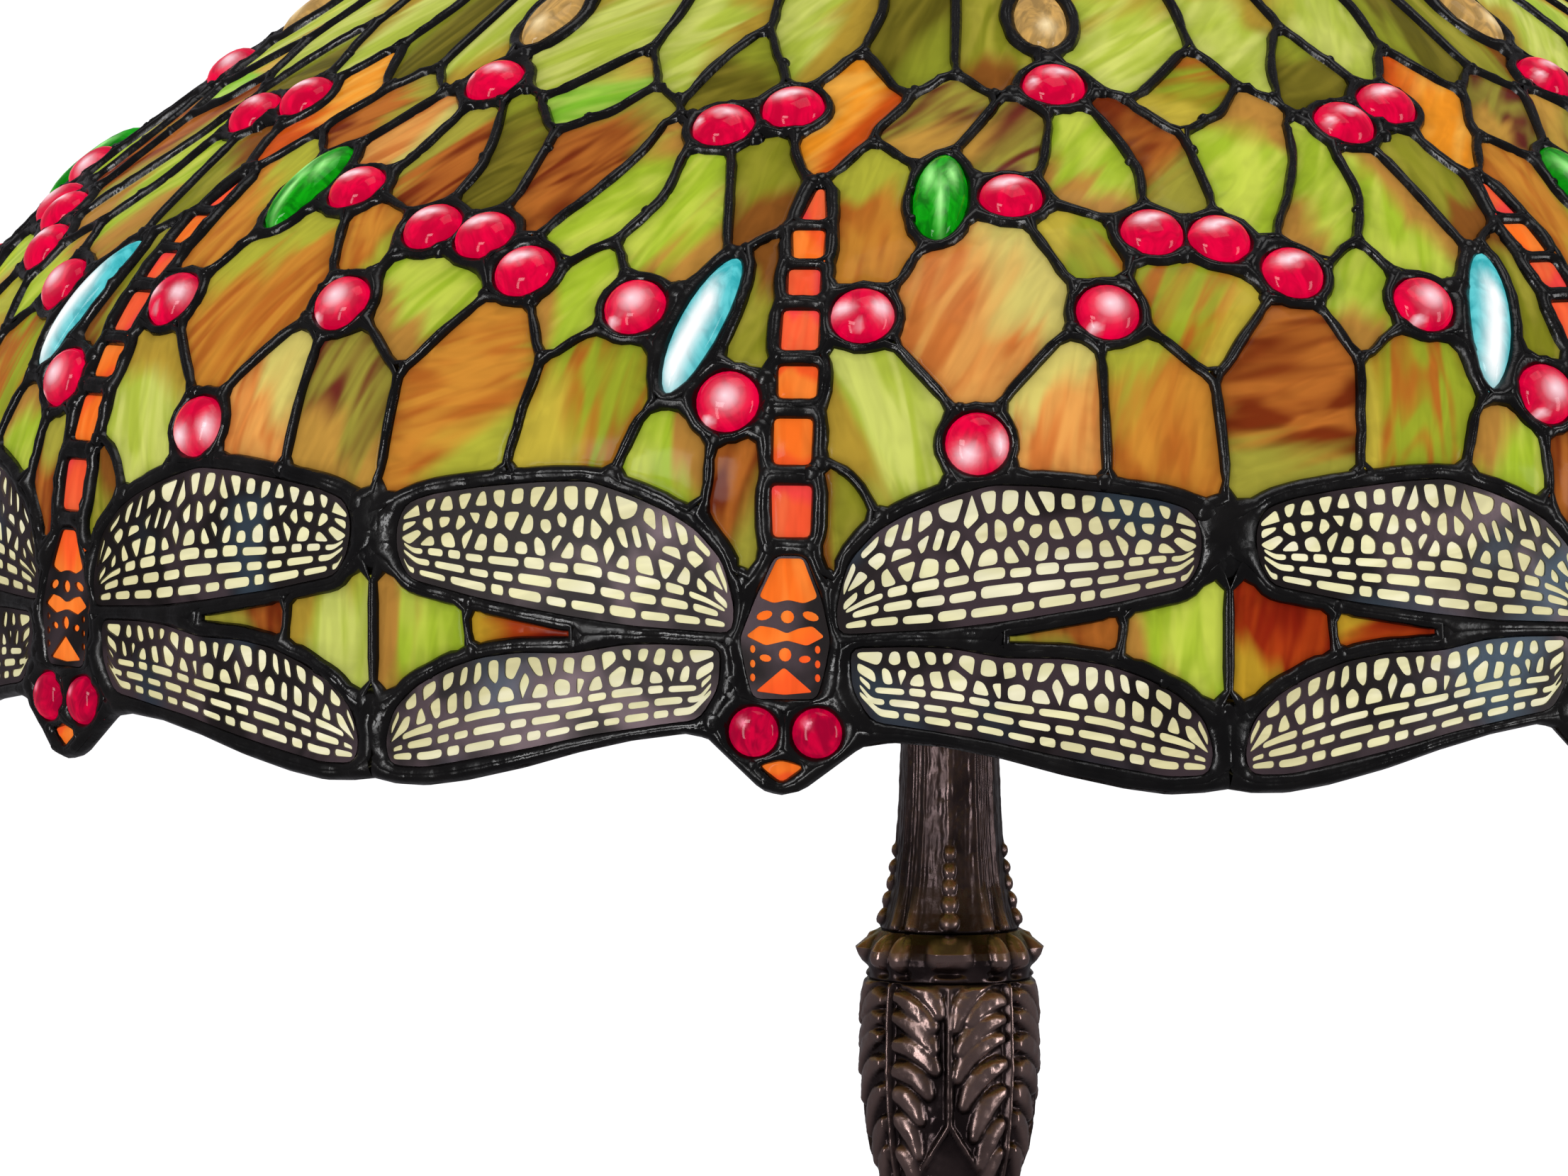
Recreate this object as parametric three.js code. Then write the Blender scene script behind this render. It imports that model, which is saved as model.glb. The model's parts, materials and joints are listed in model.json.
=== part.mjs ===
// A stained glass table lamp: a dome shade of eight mosaic panels with a dragonfly in each, on a cast
// leaf column with a round foot. Millimetres, +Z up, origin at the centre of the underside.
// The viewer stands on the -Y side. A bearing is measured from -Y towards +X, in degrees.
import * as THREE from "three";

// ---- driving dimensions -------------------------------------------------------------------------
const SHADE_RADIUS = 279.4; // a 22 inch shade
const PANELS = 8;
const PANEL_TURN = -8.3; // bearing of the middle of the first panel
const SHADE_WALL = 4; // glass and solder together
const RIM_LOW = 358; // the lowest points of the scalloped edge
const SKIRT_TOP = 408; // the skirt is upright below this height
const SHOULDER_RADIUS = 110; // the side curve above the skirt
const SHOULDER_TURN = 52; // degrees that the shoulder leans inwards before the cone begins
const CONE_RADIUS = 1034; // the nearly straight upper part
const CROWN_RADIUS = 50; // where the glass stops at the crown ring
const PANEL_GAP = 0.3; // clearance between neighbouring meshes

const FOOT_RADIUS = 115;
const PIPE_RADIUS = 5; // the threaded lamp pipe that holds everything together
const PIPE_BORE = 3.4;
const BORE = PIPE_RADIUS + 0.5; // clearance hole of every casting on the pipe

const CLUSTER_HEIGHT = 462; // height of the three horizontal sockets
const SOCKETS = 3;
const FIRST_SOCKET = -20;
const SOCKET_RADIUS = 19;
const SOCKET_BORE = 13.7;
const CHAIN_REACH = 74; // distance from the axis to a pull chain
const CHAIN_END = 384;

// ---- small tools --------------------------------------------------------------------------------
const lamp = new THREE.Group();

function finish(colour, roughness, metalness) {
  return new THREE.MeshStandardMaterial({ color: colour, roughness, metalness });
}
const bronze = finish(0x2e211c, 0.38, 0.85);
const brass = finish(0xa98845, 0.35, 0.9);
const steel = finish(0x8c8c8e, 0.4, 0.9);
const iron = finish(0x3a3a3c, 0.7, 0.6);
const felt = finish(0x1e3a26, 0.95, 0);
const mosaic = finish(0xb0b446, 0.25, 0);
const solder = finish(0x14120f, 0.45, 0.6);
const opal = finish(0xf4efe2, 0.3, 0);
const fibre = finish(0x8c7b5c, 0.8, 0);
const rubber = finish(0x151515, 0.8, 0);

// Turns the faces the right way round, so that every solid has a positive volume.
function outward(geometry) {
  const flat = geometry.index ? geometry.toNonIndexed() : geometry;
  const p = flat.getAttribute("position");
  const [a, b, c] = [new THREE.Vector3(), new THREE.Vector3(), new THREE.Vector3()];
  let volume = 0;
  for (let i = 0; i < p.count; i += 3) {
    a.fromBufferAttribute(p, i);
    b.fromBufferAttribute(p, i + 1);
    c.fromBufferAttribute(p, i + 2);
    volume += a.dot(b.cross(c));
  }
  if (volume < 0)
    for (let i = 0; i < p.count; i += 3) {
      b.fromBufferAttribute(p, i + 1);
      c.fromBufferAttribute(p, i + 2);
      p.setXYZ(i + 1, c.x, c.y, c.z);
      p.setXYZ(i + 2, b.x, b.y, b.z);
    }
  flat.computeVertexNormals();
  return flat;
}

// A solid of revolution about +Z from [radius, height] points, closed on itself or on the axis.
function turned(points, segments = 24) {
  const closed = points[0][0] > 0;
  const profile = points.map(([r, z]) => new THREE.Vector2(r, z));
  if (closed) profile.push(profile[0].clone());
  return outward(new THREE.LatheGeometry(profile, segments).rotateX(Math.PI / 2));
}

// A tube about +Z.
function tube(inner, outer, low, high, segments = 24) {
  return turned([[inner, low], [outer, low], [outer, high], [inner, high]], segments);
}

// Moves the outer surface of a turned solid in or out by swell(bearing, height); its bore stays round.
function swollen(geometry, swell) {
  const p = geometry.getAttribute("position");
  for (let i = 0; i < p.count; i++) {
    const [x, y, z] = [p.getX(i), p.getY(i), p.getZ(i)];
    const r = Math.hypot(x, y);
    if (r < BORE + 1) continue;
    const k = (r + swell(Math.atan2(y, x), z)) / r;
    p.setXYZ(i, x * k, y * k, z);
  }
  geometry.computeVertexNormals();
  return geometry;
}

// A prism about +Z with flat sides, such as a hex nut, with a round hole.
function nut(acrossFlats, hole, low, high) {
  const shape = new THREE.Shape();
  const corner = acrossFlats / 2 / Math.cos(Math.PI / 6);
  for (let i = 0; i < 6; i++) {
    const a = (i * Math.PI) / 3;
    shape[i ? "lineTo" : "moveTo"](corner * Math.cos(a), corner * Math.sin(a));
  }
  shape.closePath();
  shape.holes.push(new THREE.Path().absarc(0, 0, hole, 0, 2 * Math.PI, true));
  const made = new THREE.ExtrudeGeometry(shape, { depth: high - low, bevelEnabled: false, curveSegments: 8 });
  return outward(made.translate(0, 0, low));
}

function place(name, geometry, material, parent = lamp) {
  const mesh = new THREE.Mesh(geometry, material);
  mesh.name = name;
  parent.add(mesh);
  return mesh;
}

// ---- foot ---------------------------------------------------------------------------------------
const FELT_THICK = 2;
const FOOT_LOW = FELT_THICK + 0.3;
const FOOT_TOP = 62;
place("felt_pad", turned([[0, 0], [FOOT_RADIUS - 3, 0], [FOOT_RADIUS - 3, FELT_THICK], [0, FELT_THICK]], 36), felt);

place("base_foot", turned([
  [FOOT_RADIUS, FOOT_LOW], [FOOT_RADIUS + 0.5, 8], [FOOT_RADIUS - 4, 13], [96, 18], [80, 22], [62, 29],
  [46, 39], [34, 50], [29, FOOT_TOP],
  [BORE, FOOT_TOP], [BORE, 52], [22, 47], [36, 34], [54, 24], [74, 16], [92, 11], [98, FOOT_LOW],
], 36), bronze);
place("base_weight", turned([[BORE, 8], [72, 8], [72, 13], [44, 22], [BORE, 22]]), iron);
place("lower_nut", nut(17, PIPE_RADIUS + 0.15, 3.2, 6.4), steel);
place("lock_washer", tube(PIPE_RADIUS + 0.4, 11, 6.7, 7.7, 16), steel);

// The bush at the back of the foot that the flex would pass through.
const INLET_HEIGHT = 7.4;
const inlet = new THREE.Group();
inlet.position.set(0, FOOT_RADIUS + 0.9, INLET_HEIGHT);
inlet.rotation.x = -Math.PI / 2; // local +Z points out of the back of the foot
lamp.add(inlet);
place("cord_inlet_bush", turned([[2.6, 0], [4.8, 0], [4.8, 2.4], [3.8, 3.6], [2.6, 3.6]], 16), rubber, inlet);

// ---- column -------------------------------------------------------------------------------------
// Four low ridges run up every casting of the column.
const ridges = (height) => (bearing) => height * Math.cos(4 * bearing);
const KNOP_LOW = 196;
const LEAF_LOW = 210;
const COLLAR_LOW = 286;
const NECK_LOW = 299;
const NECK_TOP = 396;
place("lower_stem", swollen(turned([
  [BORE, FOOT_TOP + 0.3], [28, FOOT_TOP + 0.3], [23, 72], [18.5, 90], [15.6, 116], [14.2, 146], [13.8, 168],
  [14.6, 184], [17, KNOP_LOW - 0.3], [BORE, KNOP_LOW - 0.3],
]), ridges(0.7)), bronze);
place("lower_knop", turned([
  [BORE, KNOP_LOW], [17.5, KNOP_LOW], [21, 200], [21.6, 203], [20, 206.5], [15.6, LEAF_LOW - 0.3],
  [BORE, LEAF_LOW - 0.3],
]), bronze);
place("leaf_column", swollen(turned([
  [BORE, LEAF_LOW], [15.2, LEAF_LOW], [16.8, 220], [19.2, 231], [21.2, 240], [22.3, 250], [23.2, 262], [22.8, 276],
  [21.9, COLLAR_LOW - 0.3], [BORE, COLLAR_LOW - 0.3],
]), ridges(0.5)), bronze);
place("column_collar", turned([
  [BORE, COLLAR_LOW], [21.8, COLLAR_LOW], [23.2, 289], [24.4, 291.5], [24.4, 294.5], [21, NECK_LOW - 0.3],
  [BORE, NECK_LOW - 0.3],
], 32), bronze);
place("neck", swollen(turned([
  [BORE, NECK_LOW], [18.4, NECK_LOW], [16.8, 304], [15.2, 311], [14.1, 320], [13.3, 331], [12.8, 344], [12.6, 372],
  [13, 386], [14.4, 389], [14.4, NECK_TOP], [BORE, NECK_TOP],
]), ridges(0.3)), bronze);

// ---- pipe, socket cluster and riser -------------------------------------------------------------
const WHEEL_LOW = 602;
const WHEEL_HIGH = 606;
const CAP_SEAT = 613.3; // the cap rests on the crown ring here
const CAP_CROWN = CAP_SEAT + 20.2;
const FINIAL_BASE = CAP_CROWN + 1.8;
const PIPE_TOP = FINIAL_BASE + 15;
place("lamp_pipe", tube(PIPE_BORE, PIPE_RADIUS, FOOT_LOW + 0.4, PIPE_TOP, 16), brass);
place("neck_tube", tube(BORE, 8, NECK_TOP + 0.3, CLUSTER_HEIGHT - 13.3, 16), brass);
place("cluster_hub", turned([
  [BORE, CLUSTER_HEIGHT - 13], [17, CLUSTER_HEIGHT - 13], [25, CLUSTER_HEIGHT - 8], [25, CLUSTER_HEIGHT + 8],
  [BORE, CLUSTER_HEIGHT + 8],
]), brass);
place("cluster_cover", turned([
  [BORE, CLUSTER_HEIGHT + 8.3], [25, CLUSTER_HEIGHT + 8.3], [23, CLUSTER_HEIGHT + 13], [13, CLUSTER_HEIGHT + 18],
  [BORE, CLUSTER_HEIGHT + 18],
]), brass);

for (let i = 0; i < SOCKETS; i++) {
  const bearing = THREE.MathUtils.degToRad(FIRST_SOCKET + (i * 360) / SOCKETS);
  const n = i + 1;
  // Inside this group +Z runs outwards along the socket.
  const arm = new THREE.Group();
  arm.position.z = CLUSTER_HEIGHT;
  arm.rotation.order = "ZYX";
  arm.rotation.set(0, Math.PI / 2, bearing - Math.PI / 2);
  lamp.add(arm);
  place(`socket_nipple_${n}`, tube(3.2, 5, 25.4, 35.7, 12), brass, arm);
  place(`socket_cap_${n}`, turned([[3.2, 36], [9, 36], [17, 41], [18.4, 46], [18.4, 53.7], [3.2, 53.7]], 20), brass, arm);
  place(`socket_base_${n}`, turned([[0, 54.4], [13.3, 54.4], [13.3, 65], [0, 65]], 16), fibre, arm);
  place(`socket_shell_${n}`, turned([
    [SOCKET_BORE, 54], [SOCKET_RADIUS, 54], [SOCKET_RADIUS, 90], [17.6, 92], [17.6, 99], [SOCKET_BORE, 99],
  ], 20), brass, arm);
  place(`bulb_cap_${n}`, turned([[0, 65.4], [5, 65.4], [9, 68], [13, 70], [13, 91], [0, 91]], 16), steel, arm);
  place(`bulb_glass_${n}`, turned([
    [0, 91.3], [12.4, 91.3], [12.6, 99.5], [17, 109], [24, 119], [29, 132], [30, 142], [27.5, 153], [20, 162],
    [10, 167], [0, 168.5],
  ], 16), opal, arm);

  // The pull chain hangs upright under the socket.
  const drop = new THREE.Group();
  drop.position.set(CHAIN_REACH * Math.sin(bearing), -CHAIN_REACH * Math.cos(bearing), 0);
  lamp.add(drop);
  const guideTop = CLUSTER_HEIGHT - SOCKET_RADIUS - 0.3;
  place(`chain_guide_${n}`, turned([
    [2, guideTop], [4, guideTop], [3.4, guideTop - 9], [4.4, guideTop - 14], [2, guideTop - 14],
  ].reverse(), 12), brass, drop);
  place(`pull_chain_${n}`, turned([
    [0, CHAIN_END + 14.3], [1.2, CHAIN_END + 14.3], [1.2, guideTop - 1], [0, guideTop - 1],
  ], 8), brass, drop);
  place(`chain_bell_${n}`, turned([
    [0, CHAIN_END + 0.6], [3.4, CHAIN_END], [4.6, CHAIN_END + 1.4], [4, CHAIN_END + 5], [2.4, CHAIN_END + 10],
    [1.6, CHAIN_END + 14], [0, CHAIN_END + 14],
  ], 12), brass, drop);
}

place("riser_tube", tube(BORE, 8, CLUSTER_HEIGHT + 18.3, WHEEL_LOW - 6.3, 16), brass);
place("wheel_nut", nut(19, PIPE_RADIUS + 0.15, WHEEL_LOW - 6, WHEEL_LOW - 0.3), brass);

// ---- shade wheel, crown ring and cap ------------------------------------------------------------
// The wheel is a hub, three spokes and a rim, and the crown ring of the shade stands on its rim.
const WHEEL_RADIUS = 47;
const RIM_WIDTH = 7;
function wheel() {
  const outline = new THREE.Shape().absarc(0, 0, WHEEL_RADIUS, 0, 2 * Math.PI, false);
  outline.holes.push(new THREE.Path().absarc(0, 0, PIPE_RADIUS + 0.4, 0, 2 * Math.PI, true));
  const [hub, rim, halfSpoke] = [14, WHEEL_RADIUS - RIM_WIDTH, 3.5];
  for (let i = 0; i < 3; i++) {
    const [from, to] = [(i * 2 * Math.PI) / 3, ((i + 1) * 2 * Math.PI) / 3];
    const opening = new THREE.Path();
    const [inner, outer] = [Math.asin(halfSpoke / hub), Math.asin(halfSpoke / rim)];
    opening.absarc(0, 0, rim, from + outer, to - outer, false);
    opening.absarc(0, 0, hub, to - inner, from + inner, true);
    opening.closePath();
    outline.holes.push(opening);
  }
  const depth = WHEEL_HIGH - WHEEL_LOW;
  const made = new THREE.ExtrudeGeometry(outline, { depth, bevelEnabled: false, curveSegments: 10 });
  return outward(made.translate(0, 0, WHEEL_LOW));
}
place("shade_wheel", wheel(), brass);

const RING_LOW = WHEEL_HIGH + 0.3;
place("crown_ring", tube(40, 47.6, RING_LOW, CAP_SEAT - 0.3, 32), brass);
place("vented_cap", turned([
  [58.5, CAP_SEAT - 3], [60, CAP_SEAT - 1.5], [54, CAP_SEAT + 5], [40, CAP_SEAT + 13], [20, CAP_SEAT + 19],
  [BORE, CAP_CROWN],
  [BORE, CAP_SEAT + 16], [20, CAP_SEAT + 15], [36, CAP_SEAT + 9], [41, CAP_SEAT + 5], [41, CAP_SEAT], [53, CAP_SEAT],
], 32), bronze);

// ---- finial -------------------------------------------------------------------------------------
place("finial_gasket", tube(BORE, 11, CAP_CROWN + 0.3, FINIAL_BASE - 0.3, 20), rubber);
const FINIAL_BORE = PIPE_RADIUS + 0.25;
place("finial", turned([
  [FINIAL_BORE, FINIAL_BASE], [10, FINIAL_BASE], [11.5, FINIAL_BASE + 2.5], [7.4, FINIAL_BASE + 5.5],
  [7, FINIAL_BASE + 8], [11, FINIAL_BASE + 13], [12.4, FINIAL_BASE + 19], [10, FINIAL_BASE + 26],
  [5.5, FINIAL_BASE + 33], [3, FINIAL_BASE + 39], [0, FINIAL_BASE + 40],
  [0, FINIAL_BASE + 17.5], [FINIAL_BORE, FINIAL_BASE + 17.5],
], 20), bronze);

// ---- shade panels -------------------------------------------------------------------------------
const SKIRT_LENGTH = SKIRT_TOP - RIM_LOW;
const SHOULDER_LENGTH = SHOULDER_RADIUS * THREE.MathUtils.degToRad(SHOULDER_TURN);
const SHOULDER_AXIS = SHADE_RADIUS - SHOULDER_RADIUS;

// The point of the shade's outside at a length measured up the surface from the rim, and its lean.
function upShade(length) {
  const past = length - SKIRT_LENGTH;
  if (past <= 0) return { r: SHADE_RADIUS, z: RIM_LOW + length, lean: 0 };
  if (past <= SHOULDER_LENGTH) {
    const lean = past / SHOULDER_RADIUS;
    const [c, s] = [Math.cos(lean), Math.sin(lean)];
    return { r: SHOULDER_AXIS + SHOULDER_RADIUS * c, z: SKIRT_TOP + SHOULDER_RADIUS * s, lean };
  }
  const start = THREE.MathUtils.degToRad(SHOULDER_TURN);
  const lean = start + (past - SHOULDER_LENGTH) / CONE_RADIUS;
  const grow = CONE_RADIUS - SHOULDER_RADIUS;
  const r = SHOULDER_AXIS - grow * Math.cos(start) + CONE_RADIUS * Math.cos(lean);
  const z = SKIRT_TOP - grow * Math.sin(start) + CONE_RADIUS * Math.sin(lean);
  return { r, z, lean };
}

// The length up the surface at which the radius has shrunk to the crown's.
function crownLength() {
  let [low, high] = [SKIRT_LENGTH + SHOULDER_LENGTH, 500];
  for (let i = 0; i < 40; i++) {
    const middle = (low + high) / 2;
    if (upShade(middle).r > CROWN_RADIUS) low = middle;
    else high = middle;
  }
  return low;
}

// Height of the scalloped edge above its lowest points, by degrees from the middle of a panel: a
// pointed head between two lower wings that droop to their tips.
const SCALLOP = [
  [-22.5, 0.8], [-19.5, 0], [-14, 5], [-9, 12.6], [-4.3, 15.4], [-0.4, 0], [3.9, 12.6], [9, 11], [14, 5.4],
  [19.8, 0], [22.5, 2],
];

// One panel: a curved shell over one eighth of the dome, as a grid of outer and inner points.
function panel(bearing) {
  const crown = crownLength();
  const rows = [SKIRT_LENGTH];
  for (let j = 1; j <= 6; j++) rows.push(SKIRT_LENGTH + (SHOULDER_LENGTH * j) / 6);
  for (let j = 1; j <= 3; j++) rows.push(SKIRT_LENGTH + SHOULDER_LENGTH + ((crown - SKIRT_LENGTH - SHOULDER_LENGTH) * j) / 3);
  const [last, width] = [rows.length, SCALLOP.length];
  const at = (side, j, i) => {
    const [degrees, edge] = SCALLOP[i];
    const { r, z, lean } = upShade(j ? rows[j - 1] : edge);
    const radius = r - side * SHADE_WALL * Math.cos(lean);
    const trim = Math.abs(degrees) > 22 ? (Math.sign(degrees) * PANEL_GAP) / 2 / radius : 0;
    const angle = THREE.MathUtils.degToRad(bearing + degrees) - trim;
    return [radius * Math.sin(angle), -radius * Math.cos(angle), z - side * SHADE_WALL * Math.sin(lean)];
  };
  const corners = [];
  const quad = (a, b, c, d) => corners.push(...a, ...b, ...c, ...a, ...c, ...d);
  for (let i = 0; i + 1 < width; i++) {
    for (let j = 0; j < last; j++) {
      quad(at(0, j, i), at(0, j, i + 1), at(0, j + 1, i + 1), at(0, j + 1, i));
      quad(at(1, j, i + 1), at(1, j, i), at(1, j + 1, i), at(1, j + 1, i + 1));
    }
    quad(at(1, 0, i), at(1, 0, i + 1), at(0, 0, i + 1), at(0, 0, i));
    quad(at(0, last, i), at(0, last, i + 1), at(1, last, i + 1), at(1, last, i));
  }
  for (let j = 0; j < last; j++) {
    quad(at(1, j, 0), at(0, j, 0), at(0, j + 1, 0), at(1, j + 1, 0));
    quad(at(0, j, width - 1), at(1, j, width - 1), at(1, j + 1, width - 1), at(0, j + 1, width - 1));
  }
  const made = new THREE.BufferGeometry();
  made.setAttribute("position", new THREE.Float32BufferAttribute(corners, 3));
  return outward(made);
}
for (let k = 0; k < PANELS; k++) place(`shade_panel_${k + 1}`, panel(PANEL_TURN + (k * 360) / PANELS), mosaic);

export default lamp;
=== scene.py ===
import json
import math
import random

import bpy
import numpy as np
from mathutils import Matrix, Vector, noise
from mathutils.geometry import delaunay_2d_cdt


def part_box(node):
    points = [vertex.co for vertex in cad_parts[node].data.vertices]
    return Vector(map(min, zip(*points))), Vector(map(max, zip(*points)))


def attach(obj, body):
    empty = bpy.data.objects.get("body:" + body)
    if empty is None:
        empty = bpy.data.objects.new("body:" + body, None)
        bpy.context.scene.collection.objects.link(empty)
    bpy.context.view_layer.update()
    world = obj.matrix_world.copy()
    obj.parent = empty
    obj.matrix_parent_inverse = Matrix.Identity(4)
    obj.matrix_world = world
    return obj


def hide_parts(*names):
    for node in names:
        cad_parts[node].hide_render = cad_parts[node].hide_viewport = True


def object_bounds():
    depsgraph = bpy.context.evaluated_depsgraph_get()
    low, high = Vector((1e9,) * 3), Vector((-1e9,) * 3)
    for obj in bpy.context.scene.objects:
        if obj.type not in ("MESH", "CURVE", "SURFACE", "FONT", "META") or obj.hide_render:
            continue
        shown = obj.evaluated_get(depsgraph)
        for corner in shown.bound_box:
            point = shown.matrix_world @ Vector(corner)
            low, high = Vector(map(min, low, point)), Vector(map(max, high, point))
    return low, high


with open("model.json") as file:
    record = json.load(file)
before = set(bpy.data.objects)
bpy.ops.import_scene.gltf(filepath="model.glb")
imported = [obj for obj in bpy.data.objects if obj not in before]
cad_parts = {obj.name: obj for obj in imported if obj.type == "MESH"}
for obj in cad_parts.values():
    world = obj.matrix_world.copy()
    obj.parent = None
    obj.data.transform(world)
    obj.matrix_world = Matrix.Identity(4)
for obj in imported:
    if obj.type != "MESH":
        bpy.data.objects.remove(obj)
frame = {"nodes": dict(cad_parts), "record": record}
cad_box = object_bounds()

MM = 0.001

# ---- driving dimensions ---------------------------------------------------------------------------
SHADE_RADIUS = 279.4
RIM_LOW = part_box("shade_panel_1")[0].z / MM
SKIRT = 50.0  # the upright part, from the rim's lowest points
SHOULDER_RADIUS = 110.0
SHOULDER_TURN = math.radians(52)
CONE_RADIUS = 1034.0
CROWN = 371.5  # the glass ends here at the crown ring
PANELS = 8
PANEL = 360 / PANELS
FIRST_BEARING = -8.3
GLASS = 3.0  # thickness
THIN_LEAD = 1.4  # half the width of an ordinary lead line
RUBY = 7.9  # radius of a round jewel
FRONT, RIGHT, LEFT = 1, 2, PANELS  # the panels whose kinds of glass are listed one by one

# ---- camera ---------------------------------------------------------------------------------------
LENS = 292.9
SENSOR_WIDTH = 36
AIM = Vector((-0.0443, 0, 0.390))
CAMERA_RISE = math.radians(3.86)
CAMERA_AWAY = 3.407


def make_camera():
    data = bpy.data.cameras.new("camera")
    data.lens = LENS
    data.sensor_width = SENSOR_WIDTH
    data.clip_end = 300
    camera = bpy.data.objects.new("camera", data)
    bpy.context.scene.collection.objects.link(camera)
    back, rise = CAMERA_AWAY * math.cos(CAMERA_RISE), CAMERA_AWAY * math.sin(CAMERA_RISE)
    camera.location = (0, -back, AIM.z + rise)
    camera.rotation_euler = (AIM - camera.location).to_track_quat("-Z", "Y").to_euler()
    bpy.context.scene.camera = camera


make_camera()


# ---- colour and material tools --------------------------------------------------------------------
def rgb(code):
    """A web colour as linear red, green, blue."""
    parts = [int(code[i : i + 2], 16) / 255 for i in (0, 2, 4)]
    return [c / 12.92 if c <= 0.04045 else ((c + 0.055) / 1.055) ** 2.4 for c in parts]


class Paint:
    """A material with short calls for the few nodes that this scene uses."""

    def __init__(self, name, **sockets):
        self.material = bpy.data.materials.new(name)
        self.material.use_nodes = True
        self.tree = self.material.node_tree
        self.shader = self.tree.nodes["Principled BSDF"]
        for socket, value in sockets.items():
            self.shader.inputs[socket.replace("_", " ")].default_value = value

    def node(self, kind, **inputs):
        made = self.tree.nodes.new(kind)
        for name, value in inputs.items():
            socket = made.inputs[name.replace("_", " ")]
            if isinstance(value, bpy.types.NodeSocket):
                self.tree.links.new(value, socket)
            else:
                socket.default_value = value
        return made

    def link(self, output, socket):
        self.tree.links.new(output, self.shader.inputs[socket])

    def attribute(self, name, output="Color"):
        made = self.tree.nodes.new("ShaderNodeAttribute")
        made.attribute_name = name
        return made.outputs[output]

    def place(self):
        return self.tree.nodes.new("ShaderNodeTexCoord").outputs["Object"]

    def noise(self, where, scale, detail=3.0, distortion=0.0):
        return self.node(
            "ShaderNodeTexNoise", Vector=where, Scale=scale, Detail=detail, Distortion=distortion
        ).outputs[0]

    def math(self, how, a, b):
        made = self.tree.nodes.new("ShaderNodeMath")
        made.operation = how
        self.tree.links.new(a, made.inputs[0])
        self.tree.links.new(b, made.inputs[1])
        return made.outputs[0]

    def ramp(self, value, low, high, bottom=0.0, top=1.0):
        """bottom below low, top above high, and smooth between."""
        made = self.tree.nodes.new("ShaderNodeMapRange")
        made.interpolation_type = "SMOOTHSTEP"
        self.tree.links.new(value, made.inputs["Value"])
        ends = {"From Min": low, "From Max": high, "To Min": bottom, "To Max": top}
        for socket, number in ends.items():
            made.inputs[socket].default_value = number
        return made.outputs["Result"]

    def mix(self, factor, a, b, how="MIX"):
        made = self.tree.nodes.new("ShaderNodeMix")
        made.data_type = "RGBA"
        made.blend_type = how
        made.clamp_factor = True
        for socket, value in ((made.inputs[0], factor), (made.inputs[6], a), (made.inputs[7], b)):
            if isinstance(value, bpy.types.NodeSocket):
                self.tree.links.new(value, socket)
            elif isinstance(value, (int, float)):
                socket.default_value = value
            else:
                socket.default_value = (*value, 1)
        return made.outputs[2]

    def times(self, a, b):
        return self.mix(1.0, a, b, "MULTIPLY")

    def glow(self, colour, share):
        """Gives off a colour as emission and reflects a share of it: the bulbs' own light, and painted light
        on the shade's glass and jewels.
        """
        self.link(colour, "Emission Color")
        self.link(self.times(colour, grey(share)), "Base Color")

    def bump(self, height, strength, distance):
        made = self.node("ShaderNodeBump", Height=height)
        made.inputs["Strength"].default_value = strength
        made.inputs["Distance"].default_value = distance
        self.link(made.outputs["Normal"], "Normal")


def grey(value):
    return (value, value, value)


def art_glass():
    """Streaky opalescent glass with painted light: it gives off, as emission, the bulbs' light that would
    shine through it. Each pane brings its own three colours, fade and grain.
    """
    paint = Paint("art_glass", Roughness=0.12, Specular_IOR_Level=0.04, Emission_Strength=0.92)
    grain = paint.attribute("grain", "Vector")
    drift = paint.noise(grain, 0.5, 1.5, 1.2)
    streaks = paint.noise(grain, 0.75, 1.2, 1.6)
    hairs = paint.noise(grain, 2.0, 1, 1.2)
    two = (paint.attribute("tint"), paint.attribute("streak"))
    colour = paint.mix(paint.ramp(streaks, 0.36, 0.68), *two)
    across = paint.math("ADD", paint.attribute("fade", "Fac"), drift)
    colour = paint.mix(paint.ramp(across, 1.05, 1.35), colour, paint.attribute("accent"))
    colour = paint.times(colour, paint.ramp(hairs, 0.3, 0.7, 0.91, 1.05))
    # Painted light: the glass glows with its colour scaled by the attribute glow, in place of the bulbs
    # shining through it.
    paint.glow(paint.times(colour, paint.attribute("glow")), 0.12)
    paint.bump(paint.noise(paint.place(), 90, 2), 0.25, 0.0006)
    return paint.material


def jewel_glass():
    """Pressed glass jewels: a deep colour glowing with painted light, and painted hot spots where the bulbs'
    light would gather.
    """
    paint = Paint("jewel_glass", Roughness=0.08, Specular_IOR_Level=0.12, Emission_Strength=0.95)
    swirl = paint.noise(paint.attribute("grain", "Vector"), 1.0, 4, 1.5)
    colour = paint.mix(paint.ramp(swirl, 0.35, 0.7), paint.attribute("streak"), paint.attribute("tint"))
    paint.glow(paint.mix(paint.attribute("hot", "Fac"), colour, paint.attribute("accent")), 0.15)
    paint.bump(paint.noise(paint.place(), 160, 2), 0.08, 0.0005)
    return paint.material


def lead():
    """Blackened solder, glossy where it ran thick."""
    paint = Paint("lead", Metallic=0.2, Specular_IOR_Level=0.4)
    blotch = paint.noise(paint.place(), 60, 4)
    paint.link(paint.mix(paint.ramp(blotch, 0.35, 0.7), rgb("070606"), rgb("131110")), "Base Color")
    paint.link(paint.ramp(paint.noise(paint.place(), 140, 3), 0.3, 0.7, 0.16, 0.38), "Roughness")
    paint.bump(paint.noise(paint.place(), 130, 4), 0.5, 0.0016)
    return paint.material


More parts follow.
